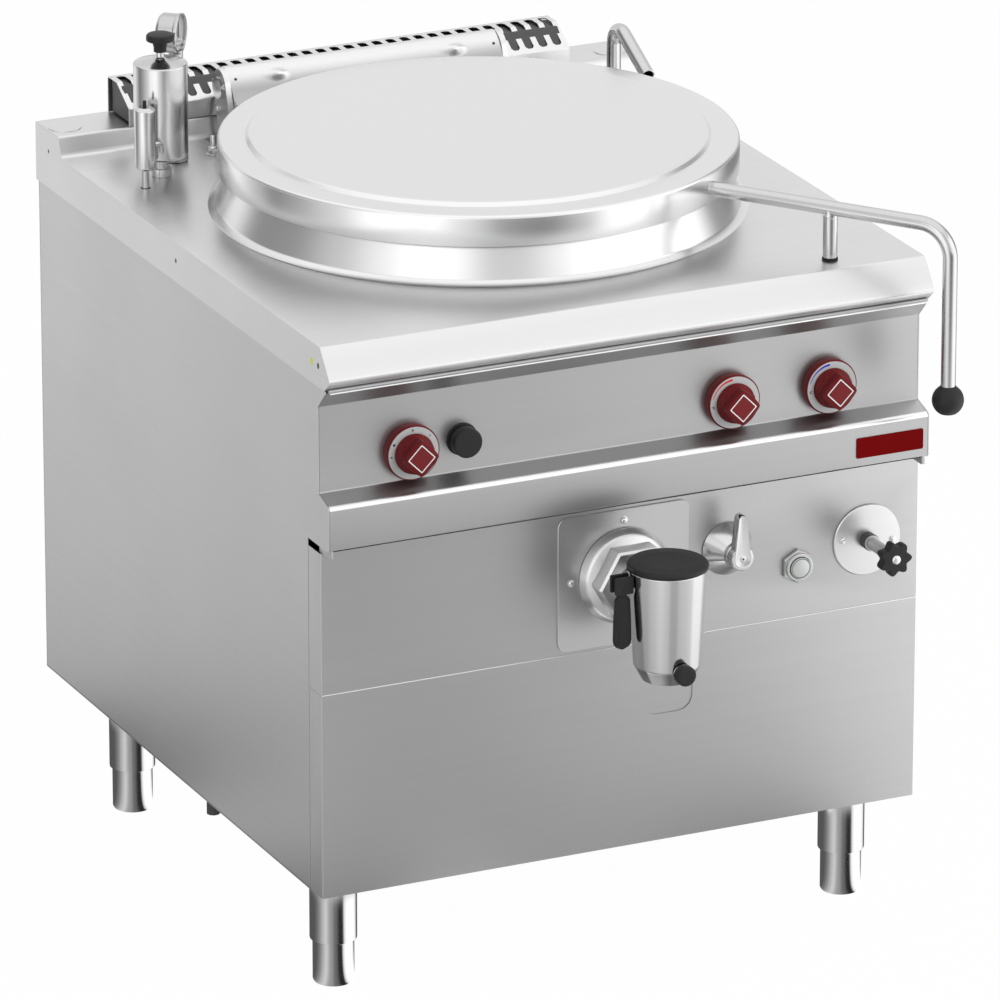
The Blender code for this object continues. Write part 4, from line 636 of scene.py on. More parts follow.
def makeLid(c):
    under = c["sheet"]
    # the disc is crowned: height = rise - drop * (r / R)^2
    share = np.linspace(0, 1, 12)
    crown = np.stack([share * (c["disc"] - 0.0032), c["top"] + c["rise"] - c["crown"] * share ** 2], -1)
    profile = roundCorners([
        *crown, (c["disc"] + 0.0012, c["top"] - 0.0004), (c["disc"] + 0.0028, c["top"]),
        (c["radius"], c["top"] - 0.0008), (c["radius"], c["top"] - c["skirt"]),
        (c["radius"] - under, c["top"] - c["skirt"]), (c["radius"] - under, c["top"] - under),
        (c["disc"], c["top"] - under), (c["disc"] - 0.006, c["top"] + c["rise"] - under),
        (0, c["top"] + c["rise"] - under)],
        [0] * 11 + [0.0036, 0.0008, 0.0006, c["edge"], 0.0006, 0.0006, 0.002, 0, 0, 0], 9)
    mesh = turnedMesh("lid", profile, 192)
    standAt(mesh, (*collar["axis"], 0))
    addPiece("lid_shell", mesh, steel["lidSteel"], "lid", "lid")
    # the skirt's mirror finish is a thin sleeve just outside the shell
    height = c["top"] - c["skirt"]
    sleeve = rounded([(c["radius"] - 0.0003, c["top"] - 0.004),
                      (c["radius"] + 0.0003, c["top"] - 0.0042, 0.0003),
                      (c["radius"] + 0.0003, height + 0.0005, 0.0003),
                      (c["radius"] - 0.0003, height + 0.0002)], 4)
    mesh = turnedMesh("skirt", sleeve, 192, closed=True)
    standAt(mesh, (*collar["axis"], 0))
    addPiece("lid_skirt_polish", mesh, steel["softSteel"], "lid")


makeLid(lid)

handle = {"angle": -52.91, "height": 0.9156, "reach": 0.640, "bend": 0.040, "tube": 0.009, "peg": 0.480,
          "ball": 0.0195, "ballHeight": 0.697}


def makeHandle(c):
    turn = math.radians(c["angle"])
    ahead = np.array([math.cos(turn), math.sin(turn), 0.0])
    side = np.array([-math.sin(turn), math.cos(turn), 0.0])
    start, corner = lid["radius"] - 0.0005, c["reach"]
    angle = np.linspace(math.pi / 2, 0, 15)
    bendAcross = corner - c["bend"] + c["bend"] * np.cos(angle)
    bendUp = c["height"] - c["bend"] + c["bend"] * np.sin(angle)
    across = np.concatenate([[start, start + 0.002],
                             np.linspace(start + 0.01, corner - c["bend"] - 0.01, 8), bendAcross,
                             [corner, corner, corner]])
    up = np.concatenate([np.full(10, c["height"]), bendUp,
                         np.linspace(c["height"] - c["bend"] - 0.02, c["ballHeight"] + c["ball"] - 0.012,
                                     3)])
    path = across[:, None] * ahead + up[:, None] * np.array([0, 0, 1.0])
    rod = sweptMesh("rod", path, circleSection(c["tube"], 32), side)
    pegPath = np.stack([c["peg"] * ahead + np.array([0, 0, z]) for z in (c["height"], 0.90, 0.88, 0.8540)])
    peg = sweptMesh("peg", pegPath, circleSection(c["tube"] - 0.0001, 32), side)
    # fillet welds where the rod meets the skirt and where the peg meets the rod
    weldAngle = np.linspace(0, 1, 6)
    weld = turnedMesh("weld", np.concatenate([[(0, 0.006)], np.stack(
        [c["tube"] + 0.0005 * weldAngle ** 2, 0.0015 * (1 - weldAngle)], -1), [(0, -0.001)]]), 32)
    weld.transform(Matrix.Rotation(turn, 4, "Z") @ Matrix.Translation((start, 0, c["height"]))
                   @ Matrix.Rotation(math.pi / 2, 4, "Y"))
    pegWeld = turnedMesh("pegWeld", [(0, 0), (c["tube"] * 0.8, 0), (c["tube"] + 0.0006, -0.0085),
                                     (c["tube"] + 0.0002, -0.0115), (0, -0.0115)], 32)
    pegWeld.transform(Matrix.Translation(Vector(c["peg"] * ahead) + Vector((0, 0, c["height"]))))
    mesh = joinMeshes("handle", [rod, peg, weld, pegWeld])
    standAt(mesh, (*collar["axis"], 0))
    addPiece("handle_rod", mesh, steel["rodSteel"], "lid", "lid_handle")
    angle = np.linspace(math.pi / 2, -math.pi / 2, 33)
    profile = np.stack([c["ball"] * np.cos(angle), c["ballHeight"] + c["ball"] * np.sin(angle)], -1)
    profile = profile[profile[:, 0] > c["tube"] + 0.0002]
    rim = c["ballHeight"] + c["ball"] - 0.0012
    profile = np.concatenate([[(c["tube"] + gap, rim - 0.012), (c["tube"] + gap, rim)],
                              profile[profile[:, 1] < rim - 0.0006], [(0, c["ballHeight"] - c["ball"])]])
    profile = np.concatenate([[(0, rim - 0.0135), (c["tube"] + gap, rim - 0.0135)], profile[1:]])
    mesh = turnedMesh("ball", profile, 48)
    standAt(mesh, (*(np.array(collar["axis"]) + c["reach"] * ahead[:2]), 0))
    addPiece("handle_ball_moulded", mesh, plastic["blackPlastic"], "lid", "handle_ball")
    tip = turnedMesh("tip",
                     rounded([(0, 0.8537), (0.0095, 0.8537, 0.0008), (0.0100, seat, 0.0008), (0, seat)],
                             4), 32)
    standAt(tip, (*(np.array(collar["axis"]) + c["peg"] * ahead[:2]), 0))
    addPiece("peg_tip_moulded", tip, plastic["blackRubber"], "lid", "peg_tip")


makeHandle(handle)
print("lid and handle made")

# Hinge: the fairing's beam with two pressed bulges, and brackets with their bolts
smoothSheet("hinge_beam", steel["beamSteel"], "lid", 40)
for node in ("hinge_bracket_left", "hinge_bracket_right"):
    smoothSheet(node, steel["bracketSteel"], "cabinet")
paint(steel["screwSteel"], "hinge_shaft")

hinge = {"axis": (0.3505, 0.9195), "ear": 0.024, "face": 0.1903, "sheet": 0.0014,
         "flange": (0.1866, 0.1938), "bolts": ((0.3671, 0.9227), (0.3336, 0.9247), (0.3554, 0.8903)),
         "bolt": 0.0034, "stud": (0.2215, 0.304), "bump": 0.122, "bumpWide": 0.027, "bumpHigh": 0.0150,
         "bumpOut": 0.0058, "hole": 0.1775,
         "fairing": ((0.3505, 0.9455), (0.3409, 0.9413), (0.3336, 0.9354), (0.3284, 0.9281),
                     (0.3224, 0.919), (0.3164, 0.912), (0.3085, 0.9075))}


def boltMesh(name, radius, height, hexagonal=True, washer=1.5):
    # A hexagon head with a chamfered top, or a round one, on a thin washer
    parts = [turnedMesh("washer",
                        rounded([(0, 0.0008), (radius * washer, 0.0008, 0.0003), (radius * washer, 0),
                                 (0, 0)], 3), 24)]
    if hexagonal:
        parts.append(plateMesh("head", regularOutline(radius * 1.12, 6, 0.3, radius * 0.1), 0.0006,
                               height, radius * 0.16))
    else:
        angle = np.linspace(0, math.pi / 2, 7)
        dome = np.stack([radius * np.sin(angle), 0.0008 + (height - 0.0008) * np.cos(angle)], -1)
        parts.append(turnedMesh("head", np.concatenate([dome, [(radius, 0.0004), (0, 0.0004)]]), 24))
    return joinMeshes(name, parts)


def makeHinge(c):
    axis = np.array(c["axis"])
    angle = np.radians(np.linspace(88, 150, 16))
    arc = axis + (c["ear"] + 0.0003) * np.stack([np.cos(angle), np.sin(angle)], -1)
    low = np.array([c["axis"][0] - 0.0463, 0.8560])
    edge = np.concatenate([arc, np.linspace(arc[-1], low, 12)[1:]])
    for side, name in ((-1, "left"), (1, "right")):
        # the flange: a thin strip that follows the ear's front edge
        away = np.gradient(edge, axis=0)
        away = np.stack([-away[:, 1], away[:, 0]], -1) / np.linalg.norm(away, axis=1)[:, None]
        away *= np.sign((away[0] @ (edge[0] - axis)))
        near, far = side * c["flange"][0], side * c["flange"][1]
        corners = [(near, edge), (far, edge), (far, edge + away * c["sheet"]),
                   (near, edge + away * c["sheet"])]
        grid = np.stack([np.concatenate([np.full((len(edge), 1), x), line], 1) for x, line in corners], 1)
        mesh = standAt(gridMesh("flange", closeEnds(grid)), (0, 0, 0))
        addPiece("bracket_flange_" + name, mesh, steel["grilleSteel"], "cabinet")
        bolts = []
        for y, z in c["bolts"]:
            bolt = boltMesh("bolt", c["bolt"], 0.0036, True, 1.35)
            bolt.transform(Matrix.Translation((side * c["face"], y, z))
                           @ Matrix.Rotation(side * math.pi / 2, 4, "Y"))
            bolts.append(bolt)
        # a stud on the worktop beside the bracket, with a washer and two nuts
        stud = turnedMesh("stud",
                          rounded([(0, 0.0245), (0.0030, 0.0245, 0.0012), (0.0030, 0.0002), (0, 0.0002)],
                                  4), 20)
        washer = turnedMesh("washer",
                            rounded([(0, 0.0017), (0.0084, 0.0017, 0.0004), (0.0084, 0.0003, 0.0004),
                                     (0, 0.0003)], 3), 28)
        for low, high, turn in ((0.0017, 0.0072, 0.2), (0.0074, 0.0112, 0.6)):
            bolts.append(plateMesh("nut", regularOutline(0.0062, 6, turn, 0.0006), low, high, 0.0007))
            bolts[-1].transform(Matrix.Translation((side * c["stud"][0], c["stud"][1], level)))
        for mesh in (stud, washer):
            mesh.transform(Matrix.Translation((side * c["stud"][0], c["stud"][1], level)))
        mesh = standAt(joinMeshes("bolts", bolts + [stud, washer]), (0, 0, 0))
        addPiece("bracket_bolts_" + name, mesh, steel["screwSteel"], "cabinet")
    # two soft bulges that are pressed out of the beam: height = h * exp(-(2.2 r)^2) over its curved front
    line = np.array(c["fairing"])
    run = np.concatenate([[0], np.cumsum(np.linalg.norm(np.diff(line, axis=0), axis=1))])
    middleRun = np.interp(0.3323, line[::-1, 0], run[::-1])
    share = np.linspace(0, 1, 20)[:, None]
    turn = np.arange(48)[None] * 2 * math.pi / 48
    across = c["bumpWide"] * share * np.cos(turn)
    along = middleRun + c["bumpHigh"] * share * np.sin(turn)
    out = c["bumpOut"] * np.exp(-(2.2 * share) ** 2) - 0.0003 + 0 * turn
    across, along = np.concatenate([across, across[-1:]]), np.concatenate([along, along[-1:]])
    out = np.concatenate([out, np.full((1, 48), -0.0025)])
    y, z = np.interp(along, run, line[:, 0]), np.interp(along, run, line[:, 1])
    for side, name in ((-1, "left"), (1, "right")):
        grid = np.stack([side * c["bump"] + across, y - 0.80 * out, z + 0.60 * out], -1)
        mesh = standAt(gridMesh("bump", closeEnds(grid)), (0, 0, 0))
        addPiece("beam_bump_" + name, mesh, steel["beamSteel"], "lid")
        # each hole is a black disc, painted shade for the hole's dark inside
        hole = turnedMesh("hole", [(0, 0.0003), (0.0018, 0.0003), (0.0019, -0.001), (0, -0.001)], 20)
        turned = Matrix.Rotation(math.atan2(0.80, 0.60), 4, "X")
        mesh = standAt(hole, (side * c["hole"], 0.3322, 0.9336), turned)
        addPiece("beam_hole_" + name, mesh, plastic["blackPrintAndShade"], "lid")


makeHinge(hinge)

# Feet: a sleeve with a turned edge and a foot that steps in to its floor pad
feet = {"spread": 0.690, "front": -0.3275, "rear": 0.2952, "sleeve": 0.029, "bottom": 0.0558, "top": 0.1471,
        "foot": 0.0255}


def makeFeet(c):
    sleeve = rounded([(0, c["top"]), (c["sleeve"], c["top"], 0.0008), (c["sleeve"], c["bottom"], 0.0022),
                      (c["foot"] + gap, c["bottom"], 0.0008), (c["foot"] + gap, c["top"] - 0.004),
                      (0, c["top"] - 0.004)], 5)
    foot = rounded([(0, 0.105), (c["foot"], 0.105, 0.001), (c["foot"], 0.0030, 0.0012),
                    (c["foot"] - 0.0018, 0, 0.0008), (0, 0)], 5)
    for side, across in (("left", -c["spread"] / 2), ("right", c["spread"] / 2)):
        for end, along in (("front", c["front"]), ("rear", c["rear"])):
            name = end + "_" + side
            mesh = standAt(turnedMesh("sleeve", sleeve, 48), (across, along, 0))
            addPiece("sleeve_" + name, mesh, steel["footSteel"], "cabinet", "foot_sleeve_" + name)
            mesh = standAt(turnedMesh("foot", foot, 48), (across, along, 0))
            addPiece("pad_" + name, mesh, steel["footSteel"], "foot_" + name, "foot_" + name)


makeFeet(feet)

# Safety valve with its lifting knob, air vent and pressure gauge
valve = {"place": (-0.3125, 0.254), "radius": 0.0337, "bottom": 0.8765, "shoulder": 0.9955,
         "vent": (-0.350, 0.2165), "ventRadius": 0.0133, "ventTop": 0.9545,
         "link": ((-0.350, 0.2165, 0.904), (-0.3275, 0.2195, 0.904), (-0.3215, 0.2290, 0.878))}


def makeValve(c):
    r = c["radius"]
    body = rounded([(0, 1.0100), (0.0052, 1.0100, 0.0008), (0.0052, 1.0040, 0.0006),
                    (0.0075, 1.0030, 0.001), (r - 0.001, c["shoulder"] + 0.001, 0.003),
                    (r, c["shoulder"] - 0.0005, 0.002), (r, c["bottom"] + 0.003, 0.002),
                    (r - 0.003, c["bottom"], 0.002), (0.009, c["bottom"] - 0.0008, 0.001),
                    (0.009, seat + 0.010), (0, seat + 0.010)], 6)
    tank = turnedMesh("tank", body, 72)
    foot = turnedMesh("foot",
                      rounded([(0, seat + 0.0102), (0.0125, seat + 0.0102, 0.001), (0.0125, seat),
                               (0, seat)], 4), 32)
    root = turnedMesh("root",
                      [(0, seat + 0.001), (0.009, seat + 0.001), (0.009, seat - tail), (0, seat - tail)],
                      32)
    # the short bent pipe that joins the vent to the tank
    link = roundCorners(np.array(c["link"]), [0, 0.009, 0], 12) - (*c["place"], 0)
    pipe = sweptMesh("pipe", link, circleSection(0.0031, 20), (0.3, 0.9, 0.1))
    mesh = standAt(joinMeshes("valve", [tank, foot, root, pipe]), (*c["place"], 0))
    addPiece("valve_tank", mesh, steel["valveSteel"], "cabinet", "safety_valve_body")
    angle = np.linspace(0, math.pi / 2, 7)
    top, low = 1.0340, 1.0236
    cap = np.concatenate([[(0, top), (0.009, top - 0.0003)],
                          np.stack([0.0137 + 0.0035 * np.sin(angle),
                                    top - 0.0045 + 0.0035 * np.cos(angle)], -1),
                          rounded([(0.0172, low + 0.003), (0.0172, low + 0.0012, 0.0015),
                                   (0.0090, low - 0.0006, 0.0015), (0.0088, 1.0185, 0.001),
                                   (0.0080, 1.0165, 0.001), (0.0080, 1.0103, 0.0006), (0, 1.0103)], 4)])
    mesh = standAt(turnedMesh("cap", cap, 56), (*c["place"], 0))
    addPiece("valve_knob_moulded", mesh, plastic["blackPlastic"], "safety_valve_knob",
             "safety_valve_knob")

    v = c["ventRadius"]
    vent = rounded([(0, c["ventTop"] - 0.0045), (0.0028, c["ventTop"] - 0.0045),
                    (0.0028, c["ventTop"], 0.0004), (v * 0.6, c["ventTop"], 0.001),
                    (v, c["ventTop"] - 0.0035, 0.0018), (v, c["bottom"] + 0.001, 0.002),
                    (v - 0.003, c["bottom"] - 0.002, 0.001), (0.0047, c["bottom"] - 0.004, 0.001),
                    (0.0047, seat - tail), (0, seat - tail)], 5)
    mesh = standAt(turnedMesh("vent", vent, 40), (*c["vent"], 0))
    addPiece("vent_tube", mesh, steel["valveSteel"], "cabinet", "air_vent_body")
    pin = rounded([(0, c["ventTop"] + 0.008), (0.0024, c["ventTop"] + 0.008, 0.0008),
                   (0.0024, c["ventTop"] - 0.0006), (0, c["ventTop"] - 0.0006)], 4)
    mesh = standAt(turnedMesh("pin", pin, 20), (*c["vent"], 0))
    addPiece("vent_pin_moulded", mesh, plastic["blackPlastic"], "air_vent_pin", "air_vent_pin")


makeValve(valve)

gauge = {"place": (-0.277, 0.303, 1.0154), "turn": 40.5, "radius": 0.026, "depth": 0.028, "pipe": 0.0075}


def makeGauge(c):
    half, r = c["depth"] / 2, c["radius"]
    facing = Matrix.Rotation(math.radians(90 - c["turn"]), 4, "Z") @ facingFront
    drum = rounded([(0, half - 0.0062), (r - 0.003, half - 0.0062, 0.0002),
                    (r - 0.003, half - 0.0006, 0.0005), (r - 0.0016, half, 0.0006),
                    (r, half - 0.0008, 0.0007), (r, half - 0.004, 0.0005),
                    (r - 0.0012, half - 0.0052, 0.0005), (r - 0.0012, 0.004 - half, 0.003),
                    (r - 0.004, -half, 0.002), (0, -half)], 5)
    case = standAt(turnedMesh("drum", drum, 72), c["place"], facing)
    turn = math.radians(-c["turn"])
    place = (c["place"][0] + 0.006 * math.cos(turn), c["place"][1] + 0.006 * math.sin(turn))
    top = c["place"][2] - r + 0.0015
    pipe = [(0, top), (c["pipe"], top), (c["pipe"], seat + 0.010), (0.0078, seat + 0.010),
            (0.0078, seat - tail), (0, seat - tail)]
    pipe = standAt(turnedMesh("pipe", pipe, 32), (*place, 0))
    nut = standAt(plateMesh("nut", regularOutline(0.0150, 6, 0.4, 0.001), seat, seat + 0.010, 0.0012),
                  (*place, 0))
    socket = standAt(turnedMesh("socket",
                                rounded([(0, top + 0.004), (0.0090, top + 0.003, 0.001),
                                         (0.0090, top - 0.010, 0.001), (0.0078, top - 0.014, 0.001),
                                         (0, top - 0.014)], 3), 32), (*place, 0))
    toward = np.array(valve["place"]) - np.array(place)
    reach = toward / np.linalg.norm(toward) * (np.linalg.norm(toward) - valve["radius"] - gap)
    path = np.stack([np.append(np.array(place) + reach * share, 0.915) for share in (0, 0.5, 1.0)])
    branch = standAt(sweptMesh("branch", path, circleSection(0.0042, 24), (0, 0, 1)), (0, 0, 0))
    addPiece("gauge_drum", joinMeshes("gauge", [case, pipe, nut, socket, branch]), steel["drumSteel"],
             "cabinet", "gauge_case")
    dial = turnedMesh("dial", [(0, half - 0.0060), (r - 0.0031, half - 0.0060), (r - 0.0031, half - 0.0061),
                               (0, half - 0.0061)], 64)
    addPiece("gauge_dial", standAt(dial, c["place"], facing), plastic["dialWhite"], "cabinet")
    ticks = []
    for n in range(28):
        size = (0.0022, 0.0004) if n % 3 == 0 else (0.0012, 0.00025)
        bar = plateMesh("tick", boxSection(*size, 0.0001, 2), 0, 0.0001, 0.00002)
        angle = math.radians(225 - n * 10)
        bar.transform(Matrix.Rotation(angle, 4, "Z") @ Matrix.Translation((r - 0.0055, 0, half - 0.0060)))
        ticks.append(bar)
    addPiece("gauge_ticks", standAt(joinMeshes("ticks", ticks), c["place"], facing),
             plastic["blackPrintAndShade"], "cabinet")
    paint(plastic["blackPlastic"], "gauge_needle")
    paint(clearGlass, "gauge_glass")


makeGauge(gauge)

# Water spout: a swan neck that is open at its tip
spout = {"place": (0.3104, 0.259), "angle": -93.0, "reach": 0.110, "drop": 0.0365, "top": 0.9719,
         "bend": 0.024, "tube": 0.009, "bore": 0.0075}


def makeSpout(c):
    turn = math.radians(c["angle"])
    ahead = np.array([math.cos(turn), math.sin(turn)])
    top = c["top"] - c["tube"]
    slope = math.atan2(c["drop"], c["reach"])
    rise = c["bend"] * (1 / math.cos(slope) - 1)
    peak = np.array([0, top + rise + c["bend"] * math.sin(slope)])
    tip = np.array([c["reach"], top - c["drop"]])
    route = roundCorners([(0, level - tail), peak, tip], [0, c["bend"], 0], 25)
    route = np.concatenate([np.linspace(route[0], route[1], 6)[:-1], route[1:-1],
                            np.linspace(route[-2], route[-1], 6)[1:]])
    path = np.stack([route[:, 0] * ahead[0], route[:, 0] * ahead[1], route[:, 1]], -1)
    side = np.array([-ahead[1], ahead[0], 0])
    angle = np.arange(36) * 2 * math.pi / 36
    ring = np.stack([np.cos(angle), np.sin(angle)], -1)
    tangent = np.gradient(path, axis=0)
    tangent /= np.linalg.norm(tangent, axis=1)[:, None]
    normal = np.cross(side, tangent)
    around = ring[None, :, 0:1] * normal[:, None] + ring[None, :, 1:2] * side[None, None]
    # out along the outside, over the rounded mouth, and back inside the bore
    mouth = path[-1] + tangent[-1] * 0.0004
    outside = path[:, None] + c["tube"] * around
    lip = mouth[None, None] + (c["tube"] + c["bore"]) / 2 * around[-1:]
    inside = path[::-1, None] + c["bore"] * around[::-1]
    grid = np.concatenate([outside, lip, inside])
    mesh = standAt(gridMesh("spout", grid, wrapRows=True), (*c["place"], 0))
    addPiece("spout_tube", mesh, steel["rodSteel"], "spout", "water_spout")
    nut = rounded([(0.0094, seat), (0.0155, seat, 0.0004), (0.0155, 0.8605, 0.0012),
                   (0.0130, 0.8615, 0.0006), (0.0094, 0.8615)], 4)
    mesh = standAt(turnedMesh("nut", nut, 6 * 8, closed=True), (*c["place"], 0))
    addPiece("spout_collar_nut", mesh, steel["polishedSteel"], "cabinet", "spout_nut")


makeSpout(spout)
print("valves, gauge and spout made")

# Knobs: a round base, a printed ring and a grip that turns from round to a diamond
knob = {"height": 0.7017, "base": 0.0345, "depth": 0.0133, "grip": 0.0243, "reach": 0.0237,
        "corner": 0.0222, "edge": 0.0016, "shaft": 0.004, "outline": 0.0180, "line": 0.0013,
        "places": {"gas": -0.281, "cold_water": 0.1434, "hot_water": 0.274}}


def knobGrip(c):
    # Ring at height t: |x / r|^p + |y / r|^p = 1, where p falls from 2 (round) to 1.23 (a diamond)
    # and small ridges run round it where it changes
    rows, columns = 40, 96
    t = np.linspace(0, 1, rows)[:, None]
    turn = np.arange(columns)[None] * 2 * math.pi / columns
    blend = np.clip((t - 0.10) / 0.55, 0, 1)
    blend = blend * blend * (3 - 2 * blend)
    power = 2 - 0.77 * blend
    radius = c["grip"] * (1 - blend) + c["corner"] * 1.02 * blend
    wave = 0.0009 * np.sin(t * 44 + 0.9 * np.cos(2 * turn))
    ridge = wave * np.clip(t * 8, 0, 1) * np.clip((0.66 - t) * 8, 0, 1)
    reach = (radius + ridge) / (np.abs(np.cos(turn)) ** power
                                + np.abs(np.sin(turn)) ** power) ** (1 / power)
    edge = np.clip((t - 0.955) / 0.045, 0, 1)
    reach = reach - 0.0016 * (1 - np.sqrt(1 - edge ** 2))
    height = c["depth"] + c["reach"] * t + 0 * turn
    grid = np.stack([reach * np.cos(turn), reach * np.sin(turn), height], -1)
    return gridMesh("grip", closeEnds(grid), sharp=50)


def diamondOutline(c):
    # A thin raised line round a square that stands on its corner
    top = c["depth"] + c["reach"]
    outer = regularOutline(c["outline"], 4, 0, 0.0012, 4)
    inner = outer * (c["outline"] - c["line"] * 1.4) / c["outline"]
    rings = [(outer, top - 0.0002), (outer, top + 0.00025), (inner, top + 0.00025), (inner, top - 0.0002)]
    grid = np.stack([np.concatenate([ring, np.full((len(ring), 1), z)], 1) for ring, z in rings])
    return gridMesh("outline", grid, wrapRows=True)


def ringSector(name, inner, outer, start, end, height, thick=0.0002, steps=24, wedge=1.0):
    # A flat band round the dial between two angles; its inner edge moves in along it by the wedge
    angle = np.radians(np.linspace(start, end, steps))
    share = np.linspace(wedge, 1, steps)
    low = outer - (outer - inner) * share
    rings = np.stack([np.stack([low, np.full(steps, height)], -1),
                      np.stack([np.full(steps, outer), np.full(steps, height)], -1),
                      np.stack([np.full(steps, outer), np.full(steps, height + thick)], -1),
                      np.stack([low, np.full(steps, height + thick)], -1)], 1)
    grid = np.stack([rings[..., 0] * np.cos(angle)[:, None], rings[..., 0] * np.sin(angle)[:, None],
                     rings[..., 1]], -1)
    return gridMesh(name, closeEnds(grid))


def bars(name, strokes, height, thick=0.0002):
    # Printed strokes: (x, y, length, width, angle)
    made = []
    for x, y, length, width, angle in strokes:
        mesh = plateMesh("stroke", boxSection(length, width, min(length, width) * 0.3, 3), height,
                         height + thick, 0.00004)
        mesh.transform(Matrix.Translation((x, y, 0)) @ Matrix.Rotation(math.radians(angle), 4, "Z"))
        made.append(mesh)
    return joinMeshes(name, made)


def polar(radius, degrees):
    return radius * math.cos(math.radians(degrees)), radius * math.sin(math.radians(degrees))


def makeKnobs(c):
    base = rounded([(0, -stem), (c["shaft"], -stem), (c["shaft"], gap), (c["base"] - 0.0006, gap, 0.0006),
                    (c["base"], c["depth"] - 0.001, 0.0014), (c["base"] - 0.0016, c["depth"], 0.0006),
                    (0, c["depth"])], 5)
    for name, across in c["places"].items():
        body = "gas_knob" if name == "gas" else name + "_knob"
        place = (across, front["control"], c["height"])
        mesh = joinMeshes(name, [turnedMesh("base", base, 80), knobGrip(c)])
        addPiece(name + "_knob_moulded", standAt(mesh, place, facingFront), plastic["redPlastic"], body,
                 body)
        mesh = turnedMesh("dial",
                          rounded([(c["grip"] - 0.0004, c["depth"] - 0.0001),
                                   (c["grip"] - 0.0004, c["depth"] + 0.0002),
                                   (0.0325, c["depth"] + 0.0002), (0.0327, c["depth"] - 0.0001)], 3), 80,
                          closed=True)
        addPiece(name + "_dial", standAt(mesh, place, facingFront), plastic["silverPrint"], body)
        addPiece(name + "_diamond", standAt(diamondOutline(c), place, facingFront), plastic["whitePrint"],
                 body)
        end = c["depth"] + c["reach"]
        face = plateMesh("face", regularOutline(c["outline"] * 0.93, 4, 0, 0.0009, 4), end - 0.0004,
                         end + 0.0001, 0.00005)
        addPiece(name + "_face", standAt(face, place, facingFront), plastic["redFace"], body)
        top = c["depth"] + 0.0002
        if name == "gas":
            star = [(*polar(0.0287, 92), 0.0030, 0.0007, turn) for turn in (0, 60, 120)]
            spark = [(*polar(0.0287, 42), 0.0030, 0.0006, 40), (*polar(0.0287, 42), 0.0016, 0.0006, 110)]
            dots = [(*polar(0.0287, 152), 0.0030, 0.0030, 0), (*polar(0.0287, 183), 0.0020, 0.0020, 45)]
            mesh = bars("marks", star + spark + dots, top)
        else:
            x, y = polar(0.0287, 186)
            sign = [(x, y, 0.0036, 0.0007, 80), (x + 0.0009, y - 0.0010, 0.0018, 0.0007, 10),
                    (x - 0.0010, y + 0.0012, 0.0016, 0.0007, 20),
                    (x + 0.0012, y + 0.0016, 0.0010, 0.0010, 0)]
            mesh = bars("marks", sign, top)
            arc = ringSector("arc", 0.0280, 0.0305, 165, 96, top, wedge=0.28)
            printed = plastic["redPrint" if name == "cold_water" else "bluePrint"]
            addPiece(name + "_arc", standAt(arc, place, facingFront), printed, body)
        addPiece(name + "_marks", standAt(mesh, place, facingFront), plastic["blackPrintAndShade"], body)


makeKnobs(knob)

igniter = {"place": (-0.212, front["control"], 0.705), "radius": 0.0184, "depth": 0.020, "ring": 0.0202}


def makeIgniter(c):
    ring = rounded([(0.0093, gap), (c["ring"], gap, 0.0003), (c["ring"], 0.0022, 0.0008),
                    (0.0093, 0.0022)], 4)
    mesh = standAt(turnedMesh("ring", ring, 48, closed=True), c["place"], facingFront)
    addPiece("igniter_ring_turned", mesh, plastic["blackPlastic"], "cabinet", "igniter_ring")
    button = rounded([(0, c["depth"] - 0.0003), (c["radius"] - 0.004, c["depth"]),
                      (c["radius"], c["depth"] - 0.0002, 0.0016), (c["radius"], 0.0066, 0.0006),
                      (0.009, 0.0065), (0.009, -stem), (0, -stem)], 6)
    mesh = standAt(turnedMesh("button", button, 64), c["place"], facingFront)
    addPiece("igniter_button_moulded", mesh, plastic["blackPlastic"], "igniter", "igniter_button")


makeIgniter(igniter)
print("controls made")

# Drain tap: plate with four screws, domed flange, nut, cup, cap with its fork, lever and button
tap = {"height": 0.5008, "half": 0.0877, "bottom": 0.4127, "top": 0.585, "flange": 0.061, "depth": 0.018,
       "nutCorner": 0.0515, "nutDepth": 0.023, "reach": 0.122, "barrel": 0.030, "cup": 0.0485,
       "waist": 0.041, "cupTop": 0.5515, "waistHeight": 0.430, "mouth": 0.031, "cupBottom": 0.411,
       "bore": 0.0235, "passage": 0.0195, "screws": 0.070}


